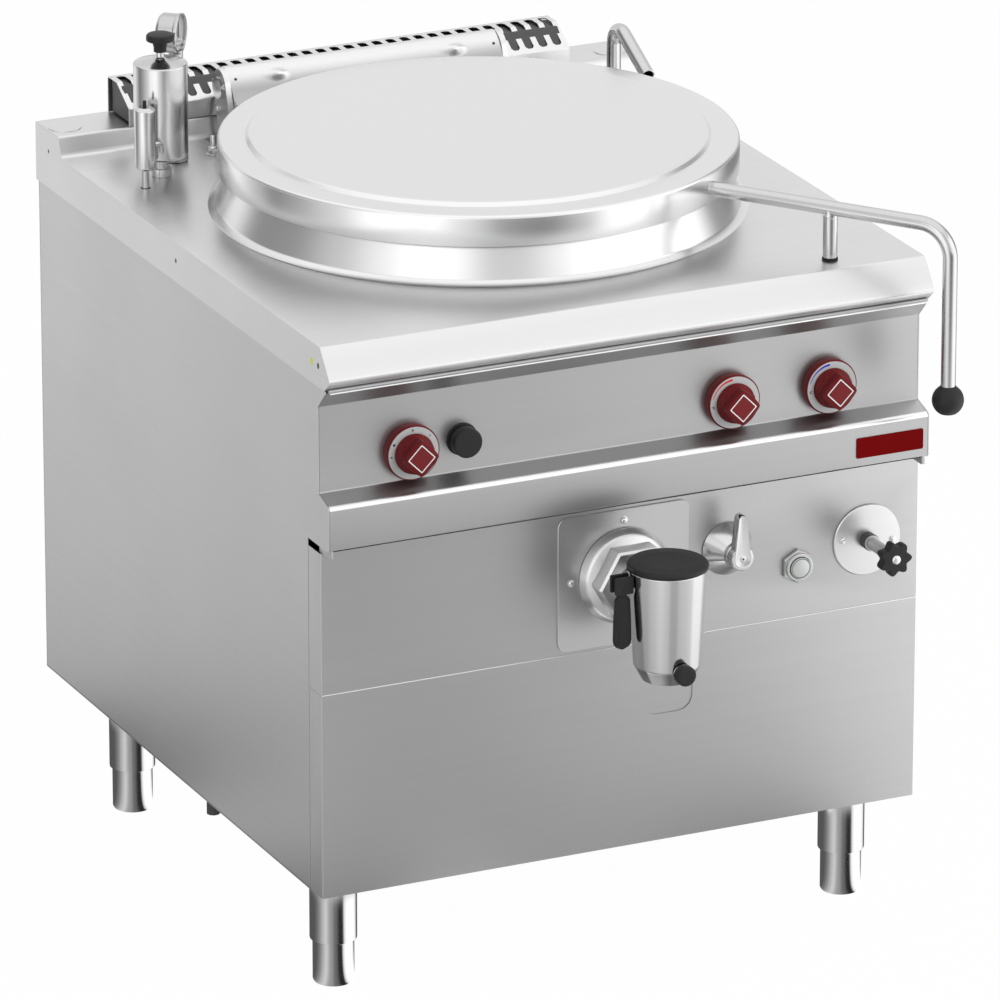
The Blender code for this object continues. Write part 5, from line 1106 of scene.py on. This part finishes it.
def makeTap(c):
    place = (0, front["panel"], c["height"])
    low, high = c["bottom"] - c["height"], c["top"] - c["height"]
    outline = boxSection(c["half"] * 2, high - low, 0.013, 7) + (0, (low + high) / 2)
    angle = np.arctan2(outline[:, 1], outline[:, 0])
    hole = np.stack([0.0223 * np.cos(angle), 0.0223 * np.sin(angle)], -1)
    rings = [(hole, gap), (outline * (1 - 0.003), gap), (outline, 0.0007), (outline, 0.0016),
             (outline * (1 - 0.005), 0.0020), (outline * (1 - 0.012), 0.0020), (hole, 0.0020)]
    grid = np.stack([np.concatenate([ring, np.full((len(ring), 1), z)], 1) for ring, z in rings])
    mesh = standAt(gridMesh("plate", grid, wrapRows=True, sharp=20), place, facingFront)
    addPiece("tap_plate_pressed", mesh, steel["plateSteel"], "cabinet", "tap_plate")
    screws = []
    for turn in (0, 90, 180, 270):
        mesh = boltMesh("screw", 0.0040, 0.0030, False, 1.25)
        mesh.transform(Matrix.Translation((*polar(c["screws"], turn), 0.0020)))
        screws.append(mesh)
    addPiece("tap_plate_screws", standAt(joinMeshes("screws", screws), place, facingFront),
             steel["screwSteel"], "cabinet")

    first = 0.0026
    shoulder = first + c["depth"]
    r = c["flange"]
    flange = rounded([(c["passage"], first), (r - 0.001, first, 0.001), (r, first + 0.0025, 0.002),
                      (r - 0.006, shoulder * 0.72, 0.010), (r * 0.72, shoulder, 0.006),
                      (c["passage"], shoulder)], 8)
    flange = turnedMesh("flange", flange, 96, closed=True)
    outer = regularOutline(c["nutCorner"], 6, 0, 0.002, 4)
    steps = len(outer)
    ring = outer / np.linalg.norm(outer, axis=1)[:, None]
    chamfer = np.minimum(np.linalg.norm(outer, axis=1), c["nutCorner"] * 0.93)[:, None] * ring
    high = shoulder + c["nutDepth"]
    rings = [(outer, shoulder - 0.001), (outer, high - 0.003), (chamfer, high), (ring * c["passage"], high),
             (ring * c["passage"], shoulder - 0.001)]
    grid = np.stack([np.concatenate([shape, np.full((steps, 1), z)], 1) for shape, z in rings])
    nut = gridMesh("nut", grid, wrapRows=True, sharp=25)
    mesh = standAt(joinMeshes("flange", [flange, nut]), place, facingFront)
    addPiece("tap_flange_turned", mesh, steel["flangeSteel"], "cabinet", "tap_flange")

    # the cup: an upright tapered body that steps in to its outlet
    cup = rounded([(0, c["cupTop"]), (c["cup"] - 0.0006, c["cupTop"], 0.0006),
                   (c["cup"], c["cupTop"] - 0.0012, 0.0006), (c["waist"], c["waistHeight"], 0.003),
                   (c["mouth"], c["cupBottom"], 0.0012), (c["bore"], c["cupBottom"], 0.001),
                   (c["bore"], c["height"]), (0, c["height"])], 6)
    cupPlace = (0, front["panel"] - c["reach"], 0)
    body = standAt(turnedMesh("cup", cup, 96), cupPlace)
    back = shoulder + c["nutDepth"] + gap
    barrel = rounded([(c["passage"], back), (c["barrel"], back, 0.0008),
                      (c["barrel"], c["reach"] - 0.030), (c["passage"], c["reach"] - 0.030)], 4)
    barrel = standAt(turnedMesh("barrel", barrel, 64, closed=True), place, facingFront)
    bossPlace = (0, front["panel"], c["waistHeight"])
    boss = standAt(turnedMesh("boss", [(0, 0.158), (0.011, 0.158), (0.011, 0.1652), (0, 0.1652)], 40),
                   bossPlace, facingFront)
    addPiece("tap_cup", joinMeshes("cup", [body, barrel, boss]), steel["cupSteel"], "cabinet", "tap_body")
    button = rounded([(0, 0.1768), (0.0085, 0.1770, 0.002), (0.0126, 0.1766, 0.0016),
                      (0.0126, 0.1655, 0.0006), (0, 0.1655)], 5)
    mesh = standAt(turnedMesh("button", button, 48), bossPlace, facingFront)
    addPiece("tap_button_moulded", mesh, plastic["blackPlastic"], "cabinet", "tap_button")

    low = c["cupTop"] + gap
    cap = rounded([(0, low + 0.0080), (0.030, low + 0.0078, 0.02), (0.0470, low + 0.0068, 0.004),
                   (0.0496, low + 0.0035, 0.0025), (0.0492, low, 0.0006), (0, low)], 7)
    parts = [turnedMesh("cap", cap, 96)]
    # the fork's two cheeks and the block that carries them
    for y in (-0.0066, 0.0066):
        cheek = plateMesh("cheek", boxSection(0.0235, 0.0215, 0.0012, 3), -0.0021, 0.0021, 0.0004)
        cheek.transform(Matrix.Translation((-0.0608, y, 0.5389)) @ Matrix.Rotation(math.pi / 2, 4, "X"))
        parts.append(cheek)
    block = plateMesh("block", boxSection(0.0120, 0.0165, 0.001, 3), 0.5528, 0.5572, 0.0003)
    block.transform(Matrix.Translation((-0.0452, 0, 0)))
    pinEnd = turnedMesh("pinEnd",
                        rounded([(0, 0.0095), (0.0018, 0.0095), (0.0026, 0.0090, 0.0003),
                                 (0.0026, 0.0082), (0, 0.0082)], 3), 20)
    pinEnd.transform(Matrix.Translation((-0.060, 0, 0.535)) @ facingFront)
    parts += [block, pinEnd]
    addPiece("tap_cap_moulded", standAt(joinMeshes("cap", parts), cupPlace), plastic["blackPlastic"],
             "cabinet", "tap_cap")

    # the lever: a paddle with soft edges, widest near its end, hung from the pin
    t = np.linspace(0, 1, 26)
    z = -0.004 - 0.0745 * t
    width = np.interp(t, [0, 0.05, 0.10, 0.13, 0.5, 0.85, 0.93, 0.98, 1],
                      [0.009, 0.010, 0.010, 0.0188, 0.0214, 0.0230, 0.0205, 0.0135, 0.004])
    thick = np.interp(t, [0, 0.10, 0.14, 0.5, 0.9, 1], [0.0076, 0.0076, 0.0105, 0.0125, 0.0115, 0.004])
    angle = np.arange(32) * 2 * math.pi / 32
    # its section is a circle with both coordinates raised to a power, so that it has soft corners
    across, along = (np.sign(side) * np.abs(side) ** 0.6 for side in (np.cos(angle), np.sin(angle)))
    grid = np.stack([np.outer(width / 2, across), np.outer(thick / 2, along),
                     np.repeat(z[:, None], 32, 1)], -1)
    lever = gridMesh("lever", closeEnds(grid), sharp=60)
    eye = turnedMesh("eye",
                     rounded([(0, 0.0038), (0.005, 0.0038, 0.0006), (0.005, -0.0038, 0.0006),
                              (0, -0.0038)], 3), 28)
    eye.transform(facingFront)
    mesh = standAt(joinMeshes("lever", [lever, eye]), (-0.060, cupPlace[1], 0.535))
    addPiece("tap_lever_moulded", mesh, plastic["blackPlastic"], "tap_lever", "tap_lever")


makeTap(tap)

# Level cock: a turned cone and a tapered blade with a pin through its hub
cock = {"place": (0.1395, front["panel"], 0.5127), "radius": 0.034, "hub": 0.0154, "depth": 0.044,
        "blade": 0.0135, "length": 0.056, "end": 0.0115, "half": 0.0112}


def makeCock(c):
    hub = c["depth"] - c["blade"]
    cone = rounded([(0.0053, gap), (c["radius"] - 0.0006, gap, 0.0006), (c["radius"], 0.0018, 0.0012),
                    (c["hub"] + 0.0008, hub - 0.006, 0.004), (c["hub"], hub - 0.002, 0.001),
                    (c["hub"] - 0.001, hub - gap, 0.0004), (0.0053, hub - gap)], 6)
    mesh = standAt(turnedMesh("cone", cone, 80, closed=True), c["place"], facingFront)
    addPiece("cock_cone", mesh, steel["cockSteel"], "cabinet", "level_cock_rosette")
    # blade: its outline is two circles and the lines that touch both
    length, end, half = c["length"] - c["end"] / 2, c["end"] / 2, c["half"]
    lean = math.asin((half - end) / length)
    around = np.linspace(math.pi - lean, 2 * math.pi + lean, 40)
    tip = np.linspace(lean, math.pi - lean, 16)
    outline = np.concatenate([np.stack([half * np.cos(around), half * np.sin(around)], -1),
                              np.stack([end * np.cos(tip), length + end * np.sin(tip)], -1)])
    centre = np.stack([np.zeros(len(outline)), np.clip(outline[:, 1], 0, length)], -1)
    inner = centre + (outline - centre) * 0.93
    hollow = centre + (outline - centre) * 0.86
    rings = [(inner, hub), (outline, hub + 0.0008), (outline, c["depth"] - 0.0012), (inner, c["depth"]),
             (hollow, c["depth"] - 0.0002)]
    grid = np.stack([np.concatenate([ring, np.full((len(ring), 1), z)], 1) for ring, z in rings])
    blade = gridMesh("blade", closeEnds(grid), sharp=30)
    pin = turnedMesh("pin",
                     rounded([(0, c["depth"] + 0.0004), (0.0030, c["depth"] + 0.0004, 0.0004),
                              (0.0042, c["depth"], 0.0004), (0.0042, c["depth"] - 0.003),
                              (0, c["depth"] - 0.003)], 3), 28)
    shaft = turnedMesh("shaft", [(0, hub + 0.001), (0.005, hub + 0.001), (0.005, -stem), (0, -stem)], 28)
    # the pin's dimple is a black disc, painted shade for its hollow
    dimple = turnedMesh("dimple",
                        [(0, c["depth"] + 0.0006), (0.0013, c["depth"] + 0.0006),
                         (0.0013, c["depth"] + 0.0001), (0, c["depth"] + 0.0001)], 16)
    disc = turnedMesh("disc",
                      rounded([(0, c["depth"] - 0.0004), (c["hub"] - 0.0004, c["depth"] - 0.0004, 0.0016),
                               (c["hub"] - 0.0002, hub + 0.0002, 0.0006), (0, hub + 0.0002)], 5), 64)
    mesh = standAt(joinMeshes("blade", [blade, disc, pin, shaft]), c["place"], facingFront)
    addPiece("cock_blade", mesh, steel["cockSteel"], "level_cock", "level_cock_lever")
    addPiece("cock_dimple", standAt(dimple, c["place"], facingFront), plastic["blackPrintAndShade"], "level_cock")


makeCock(cock)

# Push button: hexagon seat, round bezel, green ring and a plain face
button = {"place": (0.2343, front["panel"], 0.4752), "corner": 0.022, "seat": 0.006, "bezel": 0.0179,
          "height": 0.010, "face": 0.0136}


def makeButton(c):
    hexagon = plateMesh("seat", regularOutline(c["corner"], 6, math.pi / 2, 0.0016, 4), gap, c["seat"],
                        0.0009, sharp=30)
    bezel = rounded([(c["face"] + gap, 0.0031), (c["bezel"], 0.0031), (c["bezel"], c["height"], 0.0014),
                     (c["face"] + gap, c["height"], 0.0012)], 6)
    bezel = np.concatenate([bezel[:-1],
                            [(c["face"] + 0.0008, c["height"]), (c["face"] + gap, c["height"] - 0.0008)]])
    bezel = turnedMesh("bezel", bezel, 64, closed=True)
    mesh = standAt(joinMeshes("housing", [hexagon, bezel]), c["place"], facingFront)
    addPiece("button_housing", mesh, steel["buttonSteel"], "cabinet", "push_button_housing")
    top = 0.0122
    face = rounded([(0, top), (c["face"] - 0.0022, top, 0.0001),
                    (c["face"] - 0.0020, top - 0.0004, 0.0001),
                    (c["face"] - 0.0010, top - 0.0004, 0.0001),
                    (c["face"] - 0.0008, top + 0.0002, 0.0001), (c["face"] - 0.0002, top, 0.0002),
                    (c["face"] - 0.0002, 0.0054), (0, 0.0054)], 3)
    mesh = standAt(turnedMesh("face", face, 64), c["place"], facingFront)
    addPiece("button_face", mesh, steel["buttonSteel"], "push_button", "push_button")
    ring = turnedMesh("ring",
                      [(c["face"] - 0.0023, top - 0.0003), (c["face"] - 0.0023, top + 0.0001),
                       (c["face"] - 0.0007, top + 0.0001), (c["face"] - 0.0007, top - 0.0003)], 64,
                      closed=True)
    addPiece("button_ring", standAt(ring, c["place"], facingFront), plastic["greenRing"], "push_button")


makeButton(button)

# Filling valve: a flange with two screws, a stem with its threaded root and a star knob
fill = {"place": (0.3288, front["panel"], 0.4943), "flange": 0.0456, "depth": 0.003, "sleeve": 0.0100,
        "reach": 0.0735, "knob": 0.022, "knobDepth": 0.014, "wave": 0.0036, "lobes": 7, "screws": 0.0347}


def makeFill(c):
    flange = rounded([(c["sleeve"] + gap, gap), (c["flange"] - 0.0004, gap, 0.0004),
                      (c["flange"], 0.0018, 0.0008), (c["flange"] - 0.0012, c["depth"], 0.0008),
                      (c["sleeve"] + gap, c["depth"])], 5)
    mesh = standAt(turnedMesh("flange", flange, 96, closed=True), c["place"], facingFront)
    addPiece("fill_flange_turned", mesh, steel["topSteel"], "cabinet", "fill_flange")
    screws = []
    for turn in (173, 353):
        mesh = boltMesh("screw", 0.0036, 0.0028, False, 1.25)
        mesh.transform(Matrix.Translation((*polar(c["screws"], turn), c["depth"])))
        screws.append(mesh)
    addPiece("fill_screws", standAt(joinMeshes("screws", screws), c["place"], facingFront),
             steel["screwSteel"], "cabinet")
    back = c["reach"] - c["knobDepth"] / 2
    # threaded root: the radius rises and falls with the thread's pitch
    height = np.linspace(0.0030, 0.0170, 57)
    thread = np.stack([0.0094 + 0.0006 * np.abs(((height / 0.0014) % 1) * 2 - 1), height], -1)
    pipe = np.concatenate([[(0.0043, -stem), (c["sleeve"] - 0.0002, -stem),
                            (c["sleeve"] - 0.0002, 0.0030)], thread,
                           [(0.0078, 0.0175), (0.0078, back - 0.010), (0.0090, back - 0.009),
                            (0.0090, back - gap), (0.0043, back - gap)]])
    mesh = standAt(turnedMesh("stem", pipe, 48, closed=True), c["place"], facingFront)
    addPiece("fill_stem_turned", mesh, steel["plainSteel"], "cabinet", "fill_stem")
    root = turnedMesh("root",
                      rounded([(0.0101, 0.0032), (0.0106, 0.0034), (0.0106, 0.0150), (0.0101, 0.0152)],
                              3), 48, closed=True)
    addPiece("fill_stem_root", standAt(root, c["place"], facingFront), plastic["blackPrintAndShade"], "cabinet")
    # star knob: r = R - w (1 - cos n a) / 2, rounded over its rims
    rows, columns = 17, c["lobes"] * 14
    turn = np.arange(columns)[None] * 2 * math.pi / columns
    roll = np.linspace(0, math.pi, rows)[:, None]
    side = np.sin(roll) ** 0.35
    star = c["knob"] - c["wave"] * 1.5 * (1 - np.cos(c["lobes"] * turn)) / 2
    reach = star - 0.0030 * (1 - side)
    height = back + c["knobDepth"] / 2 * (1 - np.sign(np.cos(roll))
                                          * np.abs(np.cos(roll)) ** 0.45) + 0 * turn
    grid = np.stack([reach * np.cos(turn), reach * np.sin(turn), height], -1)
    grip = gridMesh("star", closeEnds(grid), sharp=60)
    shaft = turnedMesh("shaft", [(0, back + 0.002), (0.004, back + 0.002), (0.004, 0.0), (0, 0.0)], 24)
    mesh = standAt(joinMeshes("knob", [grip, shaft]), c["place"], facingFront)
    addPiece("fill_knob_moulded", mesh, plastic["blackPlastic"], "fill_knob", "fill_knob")
    top = back + c["knobDepth"]
    angle = np.linspace(0, math.pi / 2, 8)
    dome = np.stack([0.0062 * np.sin(angle), top - 0.0005 + 0.0035 * np.cos(angle)], -1)
    mesh = turnedMesh("screw", np.concatenate([dome, [(0.0062, top - 0.0012), (0, top - 0.0012)]]), 32)
    addPiece("fill_knob_screw", standAt(mesh, c["place"], facingFront), steel["screwSteel"], "fill_knob")


makeFill(fill)

# A bare red plate on the lip, and the small holes and dots of the worktop's skirt
badge = {"left": 0.3000, "right": 0.3908, "bottom": 0.6110, "top": 0.6370, "thick": 0.0012}


def makeBadge(c):
    mesh = plateMesh("badge", boxSection(c["right"] - c["left"], c["top"] - c["bottom"], 0.0022, 6),
                     0.0001, c["thick"], 0.0003)
    place = ((c["left"] + c["right"]) / 2, front["lip"], (c["top"] + c["bottom"]) / 2)
    addPiece("bare_plate", standAt(mesh, place, facingFront), plastic["redPlate"], "cabinet")


makeBadge(badge)

# Small holes in the left edge of the worktop, drawn as black dots of painted shade, and a yellow mark
# beside one of them
dots = {"holes": ((0.4079, 0.8475, 0.0020), (0.0069, 0.8262, 0.0024), (-0.4164, 0.8256, 0.0030)),
        "mark": (-0.3973, 0.8258, 0.0038)}


def makeDots(c):
    facingLeft = Matrix.Rotation(-math.pi / 2, 4, "Y")
    made = []
    for y, z, radius in (*c["holes"], c["mark"]):
        dot = turnedMesh("dot", [(0, 0.00005), (radius, 0.00005), (radius, -0.0004), (0, -0.0004)], 20)
        dot.transform(Matrix.Scale(1.25, 4, (1, 0, 0)))
        made.append(standAt(dot, (-0.39993, y, z), facingLeft))
    addPiece("edge_mark", made.pop(), plastic["yellowDot"], "cabinet")
    addPiece("edge_holes", joinMeshes("holes", made), plastic["blackPrintAndShade"], "cabinet")


makeDots(dots)

# The studio: soft boxes for the plain pieces, and for the steel a pale room with a few darker bands
studio = {"floor": 0.80, "glow": 0.985, "leftBox": 20.0, "rightBox": 22.0, "topBox": 40.0, "room": 0.50,
          "dome": 0.97, "ceiling": 1.28,
          "floorShadowTones": ((0.3, 0.42), (0.8, 0.62), (1.3, 0.78), (1.8, 0.88), (2.3, 1.04), (2.8, 1.12)),
          "farStart": 2.1, "farEnd": 2.8,
          "roomBands": ((-180, 0.85), (-158, 1.60), (-140, 1.75), (-120, 0.95), (-103, 0.34), (-86, 0.20),
                        (-70, 0.62), (-56, 1.55), (-30, 1.80), (-2, 1.40), (22, 0.22), (50, 0.35),
                        (83, 0.75), (102, 1.05), (118, 1.25), (135, 0.68), (148, 0.24), (160, 0.45),
                        (180, 0.85)),
          "wallBands": ((-180, 0.70), (-160, 1.20), (-140, 1.70), (-125, 1.50), (-108, 0.75), (-95, 0.80),
                        (-80, 1.20), (-65, 1.60), (-30, 1.80), (-5, 1.60), (10, 0.30), (25, 0.38),
                        (36, 0.95), (100, 0.97), (116, 1.10), (131, 0.30), (156, 0.35), (180, 0.75)),
          "floorBands": ((-180, 0.85), (-160, 0.85), (-140, 1.10), (-122, 1.30), (-108, 1.10),
                         (-99, 0.78), (-90, 0.78), (-82, 1.05), (-70, 1.15), (-57, 1.32), (-45, 1.95),
                         (-22, 1.95), (-6, 1.10), (10, 0.25), (60, 0.30), (95, 0.50), (112, 1.00),
                         (128, 1.03), (160, 1.00), (180, 0.85)),
          "footBands": ((-180, 0.35), (-165, 0.60), (-150, 0.80), (-126, 0.42), (-103, 0.18), (-84, 0.03),
                        (-72, 0.03), (-60, 1.10), (-50, 1.40), (-9, 1.40), (10, 1.10), (24, 0.12),
                        (65, 0.10), (148, 0.12), (165, 0.20), (180, 0.35)),
          "footMiddle": (0.0, -0.01615), "footHalf": (0.345, 0.31135), "footStart": 0.32, "footEnd": 0.47}


def makeBandGroup(name, bands):
    # How bright the room is in a direction: its turn round the upright axis picks a place on a ramp
    group, enter, leave = newGroup(name, [("Vector", "NodeSocketVector", None)],
                                   [("Bright", "NodeSocketFloat")])
    apart = group.nodes.new("ShaderNodeSeparateXYZ")
    group.links.new(enter.outputs["Vector"], apart.inputs[0])
    turn = mathNode(group, "ARCTAN2", apart.outputs["Y"], apart.outputs["X"])
    share = mathNode(group, "MULTIPLY_ADD", turn, 0.5 / math.pi)
    share.node.inputs[2].default_value = 0.5
    ramp = group.nodes.new("ShaderNodeValToRGB")
    ramp.color_ramp.interpolation = "EASE"
    stops = ramp.color_ramp.elements
    while len(stops) < len(bands):
        stops.new(0.5)
    for stop, (degrees, bright) in zip(stops, bands):
        stop.position = (degrees + 180) / 360
    for stop, (degrees, bright) in zip(stops, bands):
        stop.color = (bright, bright, bright, 1.0)
    group.links.new(share, ramp.inputs[0])
    group.links.new(ramp.outputs[0], leave.inputs["Bright"])
    return group


def makeWorld(c, bandGroup):
    world = bpy.data.worlds.new("studio")
    bpy.context.scene.world = world
    world.use_nodes = True
    tree = world.node_tree
    tree.nodes.clear()
    output = tree.nodes.new("ShaderNodeOutputWorld")
    coords = tree.nodes.new("ShaderNodeTexCoord")
    bands = groupNode(tree, bandGroup, coords.outputs["Generated"])
    apart = tree.nodes.new("ShaderNodeSeparateXYZ")
    tree.links.new(coords.outputs["Generated"], apart.inputs[0])
    high = tree.nodes.new("ShaderNodeMapRange")
    high.interpolation_type = "SMOOTHSTEP"
    high.inputs["From Min"].default_value = 0.45
    high.inputs["From Max"].default_value = 0.68
    tree.links.new(apart.outputs["Z"], high.inputs["Value"])
    steep = tree.nodes.new("ShaderNodeMapRange")
    steep.inputs["From Min"].default_value = 0.60
    steep.inputs["From Max"].default_value = 0.80
    steep.inputs["To Min"].default_value = c["dome"]
    steep.inputs["To Max"].default_value = c["ceiling"]
    tree.links.new(apart.outputs["Z"], steep.inputs["Value"])
    up = tree.nodes.new("ShaderNodeMix")
    tree.links.new(high.outputs["Result"], up.inputs["Factor"])
    tree.links.new(bands.outputs["Bright"], up.inputs[2])
    tree.links.new(steep.outputs["Result"], up.inputs[3])
    path = tree.nodes.new("ShaderNodeLightPath")
    steelRoom = tree.nodes.new("ShaderNodeBackground")
    plainRoom = tree.nodes.new("ShaderNodeBackground")
    plainRoom.inputs["Strength"].default_value = c["room"]
    white = tree.nodes.new("ShaderNodeBackground")
    for background in (steelRoom, plainRoom, white):
        background.inputs["Color"].default_value = (1, 1, 1, 1)
    tree.links.new(up.outputs[0], steelRoom.inputs["Color"])
    seen = mathNode(tree, "MAXIMUM", path.outputs["Is Camera Ray"], path.outputs["Is Transmission Ray"])
    first = tree.nodes.new("ShaderNodeMixShader")
    tree.links.new(path.outputs["Is Glossy Ray"], first.inputs[0])
    tree.links.new(plainRoom.outputs[0], first.inputs[1])
    tree.links.new(steelRoom.outputs[0], first.inputs[2])
    mix = tree.nodes.new("ShaderNodeMixShader")
    tree.links.new(seen, mix.inputs[0])
    tree.links.new(first.outputs[0], mix.inputs[1])
    tree.links.new(white.outputs[0], mix.inputs[2])
    tree.links.new(mix.outputs[0], output.inputs[0])
    world.cycles.sampling_method = "NONE"


def makeFloor(c, bandGroup, floorGroup, footGroup):
    material, tree, shader = startMaterial("floorWhite", (c["floor"],) * 3, 0.9)
    coords = tree.nodes.new("ShaderNodeTexCoord")
    bands = groupNode(tree, bandGroup, coords.outputs["Object"])
    far = tree.nodes.new("ShaderNodeVectorMath")
    far.operation = "LENGTH"
    tree.links.new(coords.outputs["Object"], far.inputs[0])
    # as the steel sees it, near the object the floor is one even tone that darkens towards it, a painted
    # shadow; further out it takes the bands
    near = tree.nodes.new("ShaderNodeFloatCurve")
    curve = near.mapping.curves[0]
    near.mapping.use_clip = False
    points = [(radius / 3.0, tone / 2.0) for radius, tone in c["floorShadowTones"]]
    curve.points[0].location, curve.points[1].location = points[0], points[-1]
    for point in points[1:-1]:
        curve.points.new(*point)
    near.mapping.update()
    tree.links.new(mathNode(tree, "DIVIDE", far.outputs["Value"], 3.0), near.inputs["Value"])
    tone = mathNode(tree, "MULTIPLY", near.outputs[0], 2.0)
    fade = tree.nodes.new("ShaderNodeMapRange")
    fade.interpolation_type = "SMOOTHSTEP"
    fade.inputs["From Min"].default_value = c["farStart"]
    fade.inputs["From Max"].default_value = c["farEnd"]
    tree.links.new(far.outputs["Value"], fade.inputs["Value"])
    nearBands = groupNode(tree, floorGroup, coords.outputs["Object"])
    bright = tree.nodes.new("ShaderNodeMix")
    tree.links.new(fade.outputs["Result"], bright.inputs["Factor"])
    tree.links.new(mathNode(tree, "MULTIPLY", tone, nearBands.outputs["Bright"]), bright.inputs[2])
    tree.links.new(bands.outputs["Bright"], bright.inputs[3])
    # round each foot the floor has bands of its own: folded place = p - m - h * sign(p - m)
    fromMiddle = vectorNode(tree, "SUBTRACT", coords.outputs["Object"],
                            (c["footMiddle"][0] + middle.x, c["footMiddle"][1] + middle.y, 0))
    folded = vectorNode(tree, "MULTIPLY", vectorNode(tree, "SIGN", fromMiddle), (*c["footHalf"], 0))
    folded = vectorNode(tree, "SUBTRACT", fromMiddle, folded)
    footBands = groupNode(tree, footGroup, folded)
    reach = tree.nodes.new("ShaderNodeVectorMath")
    reach.operation = "LENGTH"
    tree.links.new(folded, reach.inputs[0])
    close = tree.nodes.new("ShaderNodeMapRange")
    close.inputs["From Min"].default_value = c["footEnd"]
    close.inputs["From Max"].default_value = c["footStart"]
    tree.links.new(reach.outputs["Value"], close.inputs["Value"])
    whole = tree.nodes.new("ShaderNodeMix")
    tree.links.new(close.outputs["Result"], whole.inputs["Factor"])
    tree.links.new(bright.outputs[0], whole.inputs[2])
    tree.links.new(footBands.outputs["Bright"], whole.inputs[3])
    steelFloor = tree.nodes.new("ShaderNodeEmission")
    tree.links.new(whole.outputs[0], steelFloor.inputs["Color"])
    path = tree.nodes.new("ShaderNodeLightPath")
    glow = tree.nodes.new("ShaderNodeEmission")
    mix = tree.nodes.new("ShaderNodeMixShader")
    seen = mathNode(tree, "MAXIMUM", path.outputs["Is Camera Ray"], path.outputs["Is Transmission Ray"])
    tree.links.new(mathNode(tree, "MULTIPLY", seen, c["glow"]), mix.inputs[0])
    tree.links.new(shader.outputs[0], mix.inputs[1])
    tree.links.new(glow.outputs[0], mix.inputs[2])
    last = tree.nodes.new("ShaderNodeMixShader")
    tree.links.new(path.outputs["Is Glossy Ray"], last.inputs[0])
    tree.links.new(mix.outputs[0], last.inputs[1])
    tree.links.new(steelFloor.outputs[0], last.inputs[2])
    tree.links.new(last.outputs[0], tree.nodes["Material Output"].inputs[0])
    material.cycles.emission_sampling = "NONE"
    rim, rings = 24.0, 6
    angle = np.arange(64) * 2 * math.pi / 64
    radius = np.linspace(0, rim, rings)
    grid = np.stack([np.outer(radius, np.cos(angle)), np.outer(radius, np.sin(angle)),
                     np.full((rings, 64), -0.0005)], -1)
    mesh = gridMesh("floor", grid)
    floor = bpy.data.objects.new("floor", mesh)
    mesh.materials.append(material)
    bpy.context.scene.collection.objects.link(floor)


def addBox(name, place, target, size, power):
    lamp = bpy.data.lights.new(name, "AREA")
    lamp.shape = "RECTANGLE"
    lamp.size, lamp.size_y = size
    lamp.energy = power
    lamp.color = (1.0, 1.0, 1.0)
    holder = bpy.data.objects.new(name, lamp)
    holder.location = place
    holder.visible_glossy = False
    holder.rotation_euler = (Vector(target) - Vector(place)).to_track_quat("-Z", "Y").to_euler()
    bpy.context.scene.collection.objects.link(holder)


bandGroup, wallGroup, floorGroup, footGroup = (
    makeBandGroup(name, studio[name]) for name in ("roomBands", "wallBands", "floorBands", "footBands"))
makeWorld(studio, wallGroup)
makeFloor(studio, bandGroup, floorGroup, footGroup)
addBox("leftBox", (-2.3, 1.6, 1.3), (-0.4, 0, 0.6), (1.8, 1.8), studio["leftBox"])
addBox("rightBox", (1.9, -2.6, 1.1), (0, -0.3, 0.5), (1.3, 1.7), studio["rightBox"])
addBox("topBox", (1.3, -1.9, 3.0), (0, -0.2, 0.85), (2.6, 1.6), studio["topBox"])

camera = {"place": (-4.766629, -10.175134, 4.594397), "lens": 348.863,
          "right": (0.905800526, -0.423704153, 0.000444187), "up": (0.14527533, 0.31155605, 0.93905692),
          "back": (-0.39802071, -0.85053373, 0.34376139)}
lens = bpy.data.cameras.new("camera")
lens.lens = camera["lens"]
lens.sensor_width = 36.0
lens.clip_end = 100.0
viewer = bpy.data.objects.new("camera", lens)
turn = Matrix((camera["right"], camera["up"], camera["back"])).transposed().to_4x4()
viewer.matrix_world = Matrix.Translation(camera["place"]) @ turn
bpy.context.scene.collection.objects.link(viewer)
bpy.context.scene.camera = viewer
bpy.context.scene.view_settings.view_transform = "Standard"
print("studio made")
